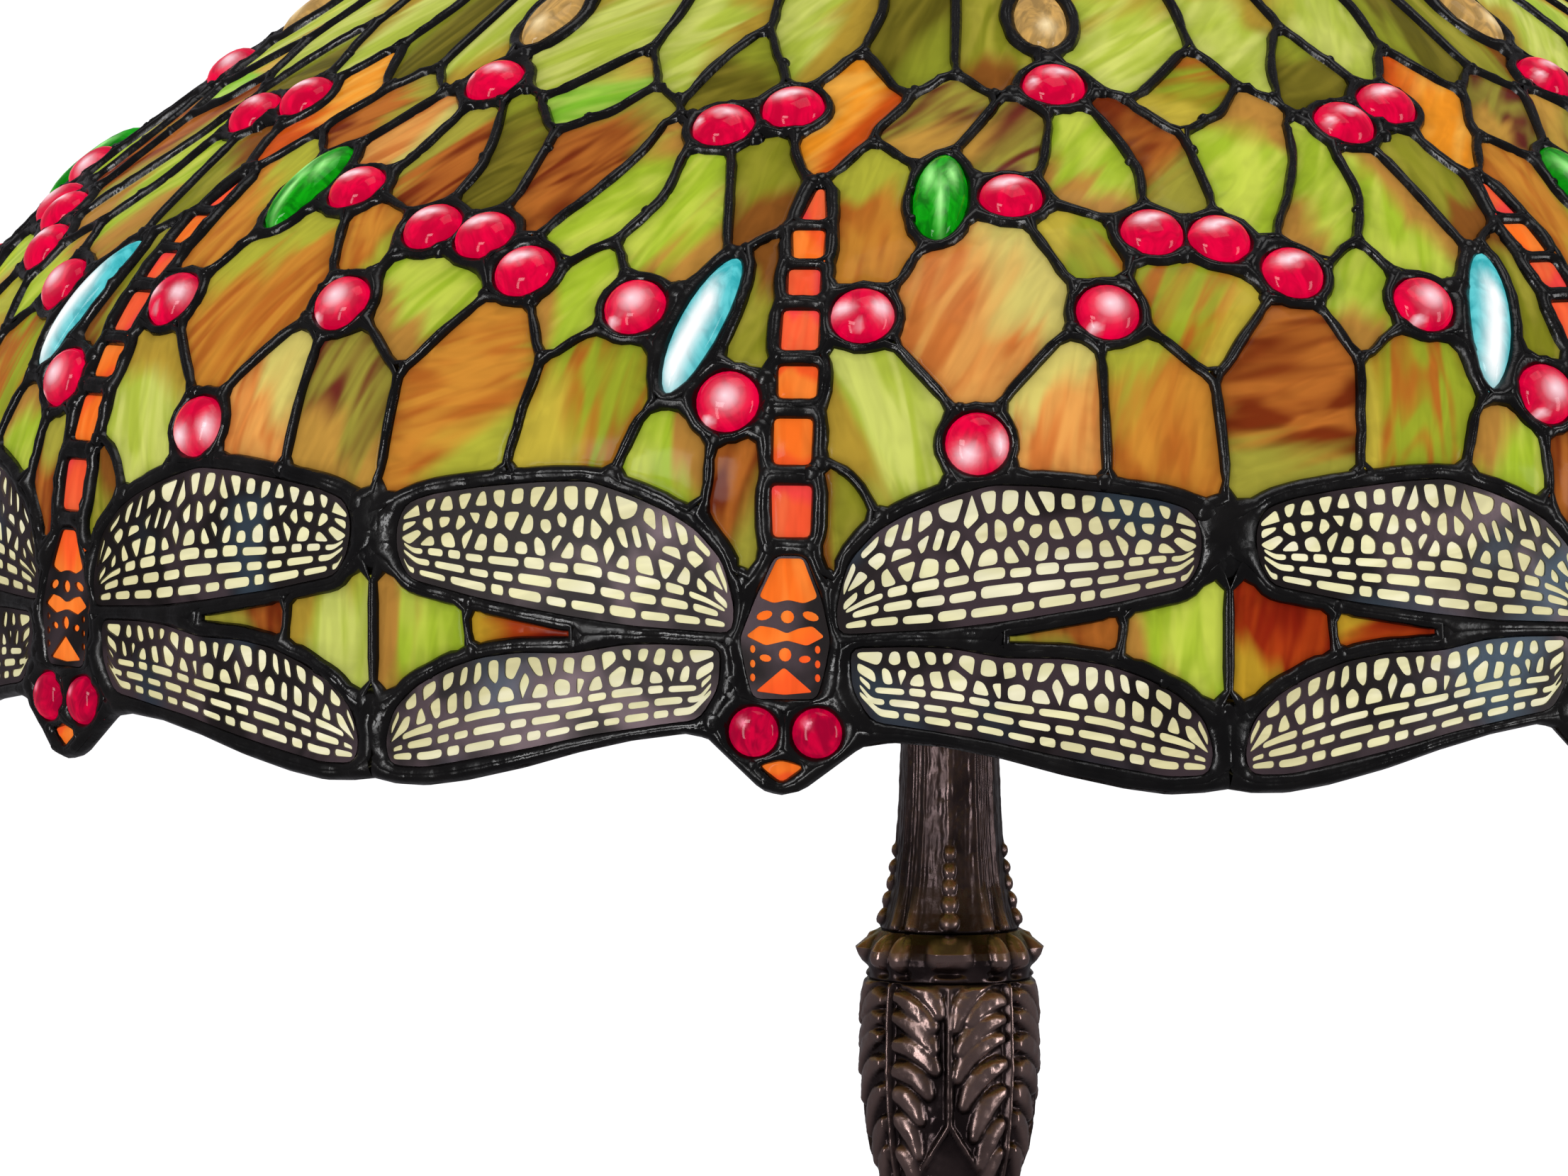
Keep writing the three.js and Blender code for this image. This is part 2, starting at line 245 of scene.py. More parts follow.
def filigree_metal():
    """Thin etched sheet over the wings, heat tinted purple and brown."""
    paint = Paint("filigree_metal", Metallic=0.55)
    tint = paint.noise(paint.place(), 26, 3, 0.8)
    colour = paint.mix(paint.ramp(tint, 0.42, 0.62), rgb("1E1616"), rgb("58484D"))
    colour = paint.mix(paint.ramp(paint.noise(paint.place(), 19, 2), 0.58, 0.7), colour, rgb("3C4C5A"))
    paint.link(colour, "Base Color")
    paint.link(paint.ramp(tint, 0.3, 0.7, 0.5, 0.36), "Roughness")
    paint.bump(paint.noise(paint.place(), 400, 2), 0.15, 0.0003)
    return paint.material


def bronze():
    """Dark patinated casting, lighter copper on the raised places that carry the attribute wear: partly
    rubbed wear, partly a painted highlight.
    """
    paint = Paint("bronze", Metallic=0.88)
    cloud = paint.noise(paint.place(), 45, 5, 0.4)
    colour = paint.mix(paint.ramp(cloud, 0.35, 0.68), rgb("2C2324"), rgb("4A3D3D"))
    # Raised places lighter: partly rubbed wear, partly a painted highlight where the relief catches the
    # light.
    worn_and_highlit = paint.math("MULTIPLY", paint.attribute("wear", "Fac"), paint.ramp(cloud, 0.2, 0.6, 0.5, 1.0))
    paint.link(paint.mix(worn_and_highlit, colour, rgb("8C7570")), "Base Color")
    paint.link(paint.ramp(paint.noise(paint.place(), 120, 4), 0.3, 0.7, 0.2, 0.36), "Roughness")
    paint.bump(paint.noise(paint.place(), 700, 3), 0.25, 0.0003)
    return paint.material


def plain(name, dark, light, scale, rough, metallic=0.0, grain=300, bump=0.2):
    """A material of two close colours in fine clouds, with its own fine bump."""
    paint = Paint(name, Metallic=metallic)
    cloud = paint.noise(paint.place(), scale, 4, 0.3)
    paint.link(paint.mix(paint.ramp(cloud, 0.35, 0.65), rgb(dark), rgb(light)), "Base Color")
    paint.link(paint.ramp(cloud, 0.3, 0.7, rough * 0.85, rough * 1.15), "Roughness")
    paint.bump(paint.noise(paint.place(), grain, 2), bump, 0.0004)
    return paint.material


def lit_opal():
    """Opal glass of the lit bulbs."""
    paint = Paint("lit_opal", Roughness=0.25, Emission_Strength=0.85)
    cloud = paint.noise(paint.place(), 30, 2)
    paint.glow(paint.mix(paint.ramp(cloud, 0.3, 0.7), rgb("FFDDA0"), rgb("FFE6B4")), 0.25)
    return paint.material


ART_GLASS = art_glass()
JEWEL_GLASS = jewel_glass()
LEAD = lead()
FILIGREE = filigree_metal()
BRONZE = bronze()
BRASS = plain("brass", "7A6030", "A98A4C", 80, 0.32, 0.9)
STEEL = plain("steel", "7C7C7E", "A2A2A4", 90, 0.35, 0.9)
IRON = plain("iron", "26262A", "3A3A3E", 70, 0.7, 0.5, 250, 0.5)
FELT = plain("felt", "14301F", "24482F", 500, 0.95, 0.0, 1500, 0.8)
RUBBER = plain("rubber", "0D0D0D", "1C1C1C", 120, 0.7)
FIBRE = plain("fibre", "6E5F45", "90805F", 150, 0.8)
OPAL = lit_opal()


# ---- mesh tools -----------------------------------------------------------------------------------
def make_mesh(name, vertices, faces, material, body, slot, smooth=True, **attributes):
    """An object from points in millimetres, with its attributes, riding on a body."""
    mesh = bpy.data.meshes.new(name)
    mesh.from_pydata((np.asarray(vertices) * MM).tolist(), [], faces)
    for key, values in attributes.items():
        values = np.asarray(values, dtype=np.float32)
        if values.ndim == 1:
            mesh.attributes.new(key, "FLOAT", "POINT").data.foreach_set("value", values)
        elif key == "grain":
            mesh.attributes.new(key, "FLOAT_VECTOR", "POINT").data.foreach_set("vector", values.ravel())
        else:
            full = np.hstack([values, np.ones((len(values), 1), dtype=np.float32)])
            mesh.attributes.new(key, "FLOAT_COLOR", "POINT").data.foreach_set("color", full.ravel())
    mesh.polygons.foreach_set("use_smooth", [smooth] * len(mesh.polygons))
    mesh.materials.append(material)
    mesh.update()
    made = bpy.data.objects.new(name, mesh)
    bpy.context.scene.collection.objects.link(made)
    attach(made, body)
    return made


class Pile:
    """Collects vertices, faces and attributes of many small pieces of one mesh."""

    def __init__(self):
        self.vertices, self.faces, self.attributes, self.count = [], [], {}, 0

    def add(self, vertices, faces, **attributes):
        vertices = np.asarray(vertices, dtype=float)
        self.vertices.append(vertices)
        self.faces.extend([tuple(i + self.count for i in f) for f in faces])
        for key, value in attributes.items():
            value = np.asarray(value, dtype=float)
            if len(value) != len(vertices):
                value = np.tile(value, (len(vertices), 1))
            self.attributes.setdefault(key, []).append(value)
        self.count += len(vertices)

    def build(self, name, bearing, material, body, slot, smooth=True):
        points = turn(np.vstack(self.vertices), bearing)
        made = {key: np.concatenate(parts) for key, parts in self.attributes.items()}
        return make_mesh(name, points, self.faces, material, body, slot, smooth, **made)


def bands(rows, count, closed=True, start=0, ring=False):
    """Quads between rows of points: closed joins the ends of a row, ring the last row to the first."""
    faces = []
    for k in range(rows if ring else rows - 1):
        low, high = start + k * count, start + (k + 1) % rows * count
        for i in range(count if closed else count - 1):
            j = (i + 1) % count
            faces.append((low + i, low + j, high + j, high + i))
    return faces


def fan(start, count, tip):
    """Triangles from a ring of points to a tip."""
    return [(start + i, start + (i + 1) % count, tip) for i in range(count)]


def flipped(faces):
    return [tuple(reversed(face)) for face in faces]


def turn(points, bearing):
    """Points turned about the lamp's axis by a bearing in degrees."""
    c, s = math.cos(math.radians(bearing)), math.sin(math.radians(bearing))
    x, y = points[:, 0] * c - points[:, 1] * s, points[:, 0] * s + points[:, 1] * c
    return np.column_stack([x, y, points[:, 2]])


# ---- the shade's surface --------------------------------------------------------------------------
def profile(up):
    """Radius, height and lean of the shade's outside at lengths up the glass."""
    up = np.asarray(up, dtype=float)
    shoulder_length = SHOULDER_RADIUS * SHOULDER_TURN
    lean = np.clip((up - SKIRT) / SHOULDER_RADIUS, 0, SHOULDER_TURN)
    further = np.maximum(0, up - SKIRT - shoulder_length) / CONE_RADIUS
    r = SHADE_RADIUS - SHOULDER_RADIUS * (1 - np.cos(lean))
    z = RIM_LOW + np.minimum(up, SKIRT) + SHOULDER_RADIUS * np.sin(lean)
    r = r + CONE_RADIUS * (np.cos(lean + further) - np.cos(lean))
    z = z + CONE_RADIUS * (np.sin(lean + further) - np.sin(lean))
    return r, z, lean + further


def axes(degrees, up):
    """Rightward, upward and outward directions on the shade."""
    _, _, lean = profile(up)
    a = np.radians(degrees)
    zero = np.zeros_like(a)
    right = np.column_stack([np.cos(a), np.sin(a), zero])
    rise = np.column_stack([-np.sin(a) * np.sin(lean), np.cos(a) * np.sin(lean), np.cos(lean)])
    out = np.column_stack([np.sin(a) * np.cos(lean), -np.cos(a) * np.cos(lean), np.sin(lean)])
    return right, rise, out


def on_shade(degrees, up, lift=0.0):
    degrees, up = np.asarray(degrees, dtype=float), np.asarray(up, dtype=float)
    r, z, _ = profile(up)
    a = np.radians(degrees)
    surface = np.column_stack([r * np.sin(a), -r * np.cos(a), z])
    return surface + axes(degrees, up)[2] * np.reshape(lift, (-1, 1))


def per_degree(up):
    """Millimetres in one degree at a length up the glass."""
    return profile(up)[0] * math.pi / 180


# ---- outlines -------------------------------------------------------------------------------------
BEND = (0, 0.33, 0.67, 1)  # the points along a rounded corner
LONGEST_CUT = 0.42  # share of an edge that a rounded corner may take


def flattening(outline):
    """What turns (degrees, up) into millimetres across and up, near an outline."""
    return np.array([per_degree(outline[:, 1].mean()), 1.0])


def signed_area(flat):
    """Positive when the outline runs anticlockwise."""
    x, y = flat[:, 0], flat[:, 1]
    return np.sum(x * np.roll(y, -1) - np.roll(x, -1) * y) / 2


def rounded(corners, cut=3.0, step=2.4):
    """An outline of close points along straight edges and rounded corners, anticlockwise from outside."""
    corners = np.array(corners, dtype=float)
    scale = flattening(corners)
    flat = corners * scale
    if signed_area(flat) < 0:
        flat = flat[::-1]
    bends = []
    for before, here, after in zip(np.roll(flat, 1, axis=0), flat, np.roll(flat, -1, axis=0)):
        entry = here + (before - here) * min(cut / np.linalg.norm(before - here), LONGEST_CUT)
        leave = here + (after - here) * min(cut / np.linalg.norm(after - here), LONGEST_CUT)
        bends.append((entry, here, leave))
    found = []
    for (entry, here, leave), (following, _, _) in zip(bends, bends[1:] + bends[:1]):
        found += [(1 - t) ** 2 * entry + 2 * t * (1 - t) * here + t * t * leave for t in BEND]
        pieces = int(np.linalg.norm(following - leave) // step)
        found += [leave + (following - leave) * j / pieces for j in range(1, pieces)]
    return np.array(found) / scale


def oval(degrees, up, half_wide, half_tall, tilt=0.0, point=1.0, count=28):
    """An ellipse; point above 1 draws its long ends out, as on a navette."""
    found = []
    c, s = math.cos(math.radians(tilt)), math.sin(math.radians(tilt))
    for i in range(count):
        a = 2 * math.pi * i / count
        x = half_wide * math.copysign(abs(math.cos(a)) ** point, math.cos(a))
        y = half_tall * math.sin(a)
        found.append((degrees + (x * c + y * s) / per_degree(up), up - x * s + y * c))
    return np.array(found)


class Loop:
    """An outline on the shade with its points, outward directions and the lead it wants."""

    def __init__(self, outline, lead_width=THIN_LEAD, fixed=False, closed=True):
        self.outline = np.array(outline, dtype=float)
        self.lead_width, self.fixed, self.closed = lead_width, fixed, closed
        self.update()

    def update(self):
        d, u = self.outline[:, 0], self.outline[:, 1]
        self.points = on_shade(d, u)
        self.right, self.rise, self.out = axes(d, u)
        along = np.gradient(self.points, axis=0)
        if self.closed:
            along = np.roll(self.points, -1, axis=0) - np.roll(self.points, 1, axis=0)
        side = np.cross(along, self.out)
        self.side = side / np.maximum(np.linalg.norm(side, axis=1, keepdims=True), 1e-9)


def stacked(loops, offsets=(0.0,)):
    """All points of the loops, and of their copies turned by the offsets, with their lead widths."""
    points, widths = [], []
    for offset in offsets:
        for loop in loops:
            points.append(turn(loop.points, offset))
            widths.append(np.full(len(loop.points), loop.lead_width))
    return np.vstack(points), np.concatenate(widths)


FARTHEST = 12.0  # no lead line is wider than twice this
SEARCH = 30.0


def reach(loop, points, widths, near=1.0):
    """How far each point can go outwards before something else is nearer, and the lead wanted there."""
    far = np.full(len(loop.points), FARTHEST)
    want = np.full(len(loop.points), loop.lead_width)
    for i, (here, side) in enumerate(zip(loop.points, loop.side)):
        away = points - here
        square = np.einsum("ij,ij->i", away, away)
        ahead = away @ side
        good = (ahead > 1e-6) & (square > near**2) & (square < SEARCH**2)
        if not good.any():
            continue
        t = square[good] / (2 * ahead[good])
        best = np.argmin(t)
        far[i] = min(far[i], t[best])
        want[i] = max(loop.lead_width, widths[good][best])
    return far, want


LONGEST_MOVE = 1.4
SHARE_OF_MOVE = 0.7


def settle(loops, borders, rounds=4):
    """Lets the loose outlines grow or shrink until the lead between them has its proper width."""
    loose = [loop for loop in loops if not loop.fixed]
    for _ in range(rounds):
        points, widths = stacked(loops + borders, (0.0, -PANEL, PANEL))
        moves = []
        for loop in loose:
            far, want = reach(loop, points, widths)
            move = np.clip(far - want, -LONGEST_MOVE, LONGEST_MOVE) * SHARE_OF_MOVE
            moves.append((np.roll(move, 1) + 2 * move + np.roll(move, -1)) / 4)
        for loop, move in zip(loose, moves):
            shift = loop.side * move[:, None]
            sideways = np.einsum("ij,ij->i", shift, loop.right)
            loop.outline[:, 0] += sideways / per_degree(loop.outline[:, 1])
            loop.outline[:, 1] += np.einsum("ij,ij->i", shift, loop.rise)
            loop.update()


# ---- the design of one panel ----------------------------------------------------------------------
# Glass kinds: main colour, streak, accent and how strongly its painted light glows.
KINDS = {
    "lime": ("A2BA2E", "C4D04E", "B8843A", 1.0),
    "pale": ("B0BE42", "CED46A", "B49434", 1.0),
    "green": ("86C232", "B2D656", "CFA848", 1.0),
    "olive": ("665E18", "867A26", "989E2C", 0.88),
    "moss": ("8A8A22", "A8A038", "8C5420", 0.92),
    "amber": ("D08A32", "B86624", "B6B43A", 0.97),
    "peach": ("E6A052", "D07636", "D8C86C", 1.03),
    "orange": ("EE9222", "F6AE46", "D05416", 1.05),
    "brown": ("BC6C2A", "7C3012", "AAA23C", 0.93),
    "rust": ("BA4416", "8C200E", "CCA02C", 0.9),
    "tiger": ("9AA42A", "B26822", "CCB640", 0.99),
    "wine": ("A2963A", "6E2C22", "CA9842", 0.93),
    "coral": ("FF5A34", "FF6E40", "FF4A44", 1.0),
    "flame": ("FF7424", "FF8634", "FF5E28", 1.0),
    "cream": ("ECE6B6", "F4EECB", "DED6A4", 1.0),
}

# The background panes: glass kind, angle of the streaks, and the corners as (degrees, up).
PANES = {
    "crest_a": ("pale", 40, [
        (-15.6, 226), (-15.6, 240), (-15.2, 256), (-8.8, 256), (-7.8, 236), (-11.2, 218), (-12.2, 203),
        (-14.4, 211),
    ]),
    "crest_b": ("pale", 60, [
        (-6.8, 240), (-6.8, 256), (1.4, 256), (1.9, 240), (1.0, 229), (-1.7, 211), (-3.4, 210),
        (-5.3, 222),
    ]),
    "crest_c": ("olive", 80, [
        (2.8, 242), (2.6, 256), (8.2, 256), (8.2, 238), (8.3, 215), (4.8, 207), (1.9, 225),
    ]),
    "crest_d": ("moss", 90, [
        (9.4, 238), (9.4, 256), (12.2, 256), (12.6, 240), (13.3, 228), (14.6, 219), (11.6, 206),
        (9.0, 216),
    ]),
    "crest_e": ("pale", 50, [
        (17.6, 221), (19.6, 238), (20.4, 256), (27.2, 256), (28.0, 240), (27.0, 222), (22.0, 204),
    ]),
    "shield": ("olive", 30, [
        (-7.7, 230), (-5.0, 211), (-6.2, 204), (-9.2, 199), (-11.0, 198), (-10.5, 210),
    ]),
    "step": ("green", 20, [(-23.0, 200), (-17.6, 221), (-15.0, 209), (-17.4, 197), (-20.8, 190)]),
    "flag": ("orange", 50, [
        (1.1, 220), (4.3, 202), (2.1, 187), (0.0, 172), (-1.5, 182), (-0.3, 196), (-1.4, 208),
    ]),
    "kite": ("wine", 40, [(8.6, 211), (10.9, 202), (8.5, 184), (5.9, 177), (3.6, 188)]),
    "plum": ("wine", 60, [(12.8, 201), (14.6, 193), (14.0, 179), (13.3, 172), (10.3, 173), (9.1, 181)]),
    "river_a": ("brown", 45, [
        (-14.2, 205), (-12.4, 197), (-13.4, 179), (-15.6, 162), (-17.6, 148), (-19.4, 157), (-20.1, 176),
        (-19.8, 186), (-16.6, 194),
    ]),
    "river_b": ("lime", 45, [
        (-11.8, 192), (-10.6, 185), (-10.3, 164), (-12.1, 150), (-14.5, 139), (-16.3, 148), (-14.0, 165),
        (-12.6, 179),
    ]),
    "river_c": ("lime", 60, [
        (-9.2, 180), (-6.9, 178), (-5.3, 146), (-7.3, 133), (-10.2, 138), (-11.0, 145), (-9.8, 156),
        (-9.3, 172),
    ]),
    "reed": ("moss", 80, [
        (-6.1, 181), (-3.5, 185), (-2.1, 168), (-1.7, 152), (-4.1, 145), (-4.8, 147), (-5.2, 161),
    ]),
    "pillar": ("amber", 85, [
        (3.3, 182), (5.5, 174), (5.2, 159), (5.9, 145), (4.9, 133), (1.9, 132), (0.9, 168),
    ]),
    "sail": ("lime", 70, [
        (16.2, 196), (18.0, 196), (19.4, 184), (20.3, 171), (19.7, 161), (17.8, 157), (15.4, 163),
        (14.7, 170), (15.4, 182),
    ]),
    "river_d": ("brown", 60, [
        (19.0, 202), (22.0, 197), (24.0, 186), (24.6, 175), (24.3, 161), (22.8, 156), (21.0, 161),
        (21.2, 176), (20.3, 188),
    ]),
    "spade": ("lime", 50, [
        (-12.8, 140), (-11.8, 140), (-11.5, 131), (-11.8, 119), (-13.8, 110), (-15.1, 124), (-14.0, 132),
    ]),
    "blade": ("moss", 75, [(-2.9, 143), (-1.7, 147), (-1.4, 120), (-1.7, 108), (-3.3, 109), (-2.8, 127)]),
    "chip": ("tiger", 120, [(14.7, 156), (17.0, 153), (17.6, 135), (15.3, 134), (13.7, 151)]),
    "heart": ("peach", 70, [
        (9.8, 152), (12.7, 149), (14.5, 132), (14.3, 121), (10.7, 99), (8.9, 98), (5.8, 114), (5.7, 127),
        (6.9, 139),
    ]),
    "fan": ("tiger", 70, [(19.6, 136), (23.0, 136), (25.6, 126), (22.4, 107), (19.9, 120)]),
    "field_a": ("amber", 15, [
        (-18.2, 123), (-16.1, 121), (-14.7, 105), (-15.3, 90), (-15.7, 80), (-22.0, 75), (-22.0, 100),
        (-20.2, 113),
    ]),
    "field_b": ("tiger", 75, [
        (-13.7, 107), (-12.0, 113), (-9.1, 111), (-8.3, 96), (-9.6, 81), (-14.7, 80), (-14.3, 93),
    ]),
    "field_c": ("lime", 80, [(-7.6, 92), (-6.0, 91), (-5.0, 86), (-4.9, 73), (-8.5, 79)]),
    "field_d": ("brown", 85, [(-3.3, 85), (-2.0, 87), (-1.7, 76), (-2.2, 55), (-2.6, 62), (-3.4, 71)]),
    "field_e": ("pale", 110, [
        (1.9, 111), (5.0, 111), (7.6, 96), (7.4, 87), (7.7, 78), (4.9, 71), (3.6, 79), (2.0, 84),
    ]),
    "field_f": ("moss", 100, [(2.1, 80), (3.0, 78), (4.0, 71), (3.2, 64), (2.6, 54), (2.2, 60)]),
    "field_g": ("peach", 85, [(14.6, 112), (16.0, 109), (16.0, 79), (11.8, 82), (11.6, 98)]),
    "field_h": ("amber", 80, [(16.9, 112), (19.2, 112), (21.9, 100), (22.1, 76), (16.7, 79)]),
    "gap_a": ("lime", 85, [(-21.9, 50), (-17.6, 46), (-17.3, 34), (-21.9, 25)]),
    "gap_b": ("rust", 10, [(-16.5, 44.5), (-11.0, 38.4), (-16.5, 35)]),
    "gap_c": ("brown", 95, [(11.0, 38.4), (16.6, 44.5), (16.6, 35)]),
    "gap_d": ("lime", 90, [(17.6, 46), (21.9, 50), (21.9, 25), (17.4, 34)]),
}

# Kinds that differ on the panels to the left and right of the front one.
LEFT_KINDS = {
    "sail": "brown", "river_d": "olive", "crest_d": "pale", "fan": "lime", "field_h": "wine",
    "plum": "peach", "kite": "brown", "gap_d": "pale", "heart": "amber", "chip": "amber",
}
RIGHT_KINDS = {"river_a": "lime", "step": "tiger", "field_a": "brown", "crest_a": "pale", "gap_a": "rust"}
# On the panels further round, each kind gives way to one of its family.
FAMILIES = {
    "lime": ("lime", "lime", "pale", "tiger", "moss"),
    "pale": ("pale", "lime", "pale"),
    "green": ("green", "lime", "tiger"),
    "olive": ("olive", "moss", "tiger"),
    "moss": ("moss", "lime", "olive"),
    "amber": ("amber", "peach", "tiger", "lime"),
    "peach": ("peach", "amber", "lime"),
    "orange": ("orange", "amber", "lime"),
    "brown": ("brown", "amber", "wine", "tiger"),
    "rust": ("rust", "brown", "orange"),
    "tiger": ("tiger", "lime", "amber"),
    "wine": ("wine", "brown", "moss", "lime"),
}

# Middles of the round jewels and of the eyes, as (degrees, up).
RUBIES = [
    (-7.8, 190), (-3.1, 197.5), (12.1, 162), (16.1, 207), (20.4, 148), (-20.6, 145.5), (-16.8, 133.5),
    (17.0, 122), (3.5, 121), (-9.4, 123), (-3.4, 97), (9.7, 86.5),
]
EYES = [(-1.62, 15.2), (1.62, 15.0)]
EYE = 6.2

# The dragonfly's tail: the kind of glass and the corners of each segment. It leans a little.
TAIL = [
    ("coral", [(-0.2, 166), (0.3, 166), (0.75, 153), (-0.85, 153)]),
    ("flame", [(-1.2, 150), (0.8, 150), (0.95, 139), (-0.8, 139)]),
    ("coral", [(-1.0, 136), (0.9, 136), (1.0, 127), (-0.8, 127)]),
    ("coral", [(-0.95, 123), (1.1, 123), (1.2, 111), (-0.85, 111)]),
    ("flame", [(-0.9, 107), (1.3, 107), (1.3, 98), (-0.75, 98)]),
    ("flame", [(-0.9, 93), (1.2, 93), (1.2, 81), (-0.8, 81)]),
    ("coral", [(-0.85, 76), (1.3, 76), (1.25, 63), (-0.7, 63)]),
]
THORAX = [
    (-0.5, 58.5), (1.0, 58.5), (1.85, 48), (2.3, 38), (2.0, 30), (1.6, 23.4), (-1.6, 23.4), (-2.0, 30),
    (-2.3, 38), (-1.5, 48),
]
BROW = [(-1.35, 6.9), (-0.2, 8.3), (0.95, 6.7), (-0.2, 2.6)]

# A wing's plate, right of the body: the root end, the upper edge, the tip and the lower edge.
UPPER_WING = [
    (2.6, 46), (3.2, 57), (4.6, 64.5), (6.0, 68.5), (8.0, 72.5), (10.4, 76), (13.0, 75.6), (16.3, 74),
    (19.0, 72), (20.6, 69.5), (21.1, 64), (21.0, 57), (20.3, 51), (16.3, 46.8), (11.4, 43), (8.0, 40.9),
    (2.7, 39.4),
]
LOWER_WING = [
    (3.3, 36), (6.4, 36.4), (8.4, 36), (11.0, 33.6), (14.0, 33.4), (16.2, 31.8), (18.2, 28.4), (19.9, 24),
    (21.2, 18), (21.7, 10), (21.4, 4.4), (19.4, 4.2), (17.2, 6.2), (13.2, 10.2), (10.2, 13.6),
    (6.2, 16.8), (4.4, 18), (3.4, 26),
]

# The rim, as (degrees, up) over one panel: a pointed head between two wings that droop to their tips.
SCALLOP = [
    (-22.5, 1.2), (-21.2, 0.1), (-19.4, 0), (-17.2, 1.6), (-14, 5.2), (-11, 9.4), (-8, 12.8), (-5.2, 14.8),
    (-4.0, 13.8), (-2.4, 6.6), (-1.2, 1.2), (-0.3, 0), (0.8, 1.2), (2.2, 6.2), (3.8, 12), (5.4, 13.2),
    (8, 12.2), (11, 9.2), (14, 5.2), (17.2, 1.7), (19.4, 0.1), (21.2, 0.4), (22.5, 1.2),
]
# The rows above the visible panes: lower edge, upper edge and number of panes.
UPPER_ROWS = ((259, 292, 5), (295, 328, 4), (331, 368, 3))
UPPER_KINDS = ("pale", "lime", "olive", "amber", "moss")


def rim_up(degrees):
    at, up = zip(*SCALLOP)
    return np.interp(degrees, at, up)


def upper_rows():
    """Plain panes between the free ones and the crown, fewer as they rise."""
    made = {}
    pick = random.Random(5)
    for row, (low, high, count) in enumerate(UPPER_ROWS):
        wide = PANEL / count
        gap = 2.2 / per_degree((low + high) / 2)
        for i in range(count):
            left = -PANEL / 2 + wide * (i + 0.5 * (row % 2)) + gap
            right = left - gap + wide - gap
            pick.random()  # one draw is passed over for each pane
            kind = pick.choice(UPPER_KINDS)
            corners = [(left, low), (right, low), (right, high), (left, high)]
            made[f"row_{row}_{i}"] = (kind, pick.uniform(50, 110), corners)
    return made


def mirrored(corners):
    return [(-d, u) for d, u in reversed(corners)]


PANES.update(upper_rows())
pane_loops = {name: Loop(rounded(corners, 3.2)) for name, (_, _, corners) in PANES.items()}
tail_loops = [Loop(rounded(corners, 1.6, 1.8), 2.0, fixed=True) for _, corners in TAIL]
thorax_loop = Loop(rounded(THORAX, 2.0, 1.8), 2.0, fixed=True)
brow_loop = Loop(rounded(BROW, 1.5, 1.8), 1.6, fixed=True)
wing_loops = [
    Loop(rounded(corners, 3.0, 1.8), 2.1, fixed=True)
    for corners in (UPPER_WING, mirrored(UPPER_WING), LOWER_WING, mirrored(LOWER_WING))
]
ruby_loops = [Loop(oval(d, u, RUBY, RUBY), 1.5, fixed=True) for d, u in RUBIES]
eye_loops = [Loop(oval(d, u, EYE, EYE), 1.5, fixed=True) for d, u in EYES]
navette_loop = Loop(oval(-5.4, 119, 5.5, 21.0, 17, 1.12), 1.8, fixed=True)
green_loop = Loop(oval(7.7, 162, 6.8, 16.5, 4, 1.12), 1.6, fixed=True)
amber_loop = Loop(oval(16.1, 236, 6.6, 13, 0, 1.15), 2.0, fixed=True)
jewel_loops = ruby_loops + eye_loops + [navette_loop, green_loop, amber_loop]


RIM_POINTS = 110
CROWN_POINTS = 24


def rim_loop():
    at = np.linspace(PANEL / 2, -PANEL / 2, RIM_POINTS)
    return Loop(np.column_stack([at, rim_up(at)]), 1.8, fixed=True, closed=False)


def crown_loop():
    at = np.linspace(-PANEL / 2, PANEL / 2, CROWN_POINTS)
    return Loop(np.column_stack([at, np.full(CROWN_POINTS, CROWN)]), 1.6, fixed=True, closed=False)


borders = [rim_loop(), crown_loop()]
fixed_loops = tail_loops + [thorax_loop, brow_loop] + wing_loops + jewel_loops
every_loop = list(pane_loops.values()) + fixed_loops
settle(every_loop, borders)


# ---- glass ----------------------------------------------------------------------------------------
EDGE_RINGS = ((0.9, 1), (2.2, 2))  # distance in from the edge, and every which point gets a copy there
SHEET_PITCH = 5.0


def nearest(points, others):
    """Each point's distance from the closest of the others."""
    return np.sqrt(((points[:, None, :] - others[None, :, :]) ** 2).sum(axis=2)).min(axis=1)


def inside(points, polygon):
    """Which points lie inside a polygon, by crossing count."""
    x, y = points[:, 0], points[:, 1]
    result = np.zeros(len(points), dtype=bool)
    for (ax, ay), (bx, by) in zip(polygon, np.roll(polygon, -1, axis=0)):
        crosses = (ay > y) != (by > y)
        with np.errstate(divide="ignore", invalid="ignore"):
            at = ax + (y - ay) * (bx - ax) / (by - ay)
        result ^= crosses & (x < at)
    return result


def triangles(points, edges, border):
    """Triangles between flat points, with the given edges, inside a border made by the first points."""
    found = delaunay_2d_cdt([Vector(p) for p in points], edges, [list(range(border))], 1, 1e-5)
    return np.array([tuple(v) for v in found[0]]), [tuple(f) for f in found[2]]


def sheet_of(loop):
    """Triangles over an outline: points as (degrees, up), faces, and distance from the edge."""
    scale = flattening(loop.outline)
    flat = loop.outline * scale
    across, along = (np.einsum("ij,ij->i", loop.side, way) for way in (loop.right, loop.rise))
    inward = -np.column_stack([across, along])
    inner = [(flat + inward * offset)[::every] for offset, every in EDGE_RINGS]
    low, high = flat.min(axis=0), flat.max(axis=0)
    xs, ys = (np.arange(low[i] + 2, high[i], SHEET_PITCH) for i in (0, 1))
    inner = np.vstack(inner + [np.array([(x, y) for x in xs for y in ys]).reshape(-1, 2)])
    inner = inner[(nearest(inner, flat) > 0.75) & inside(inner, flat)]
    verts, faces = triangles(np.vstack([flat, inner]), [], len(flat))
    return verts / scale, faces, nearest(verts, flat)


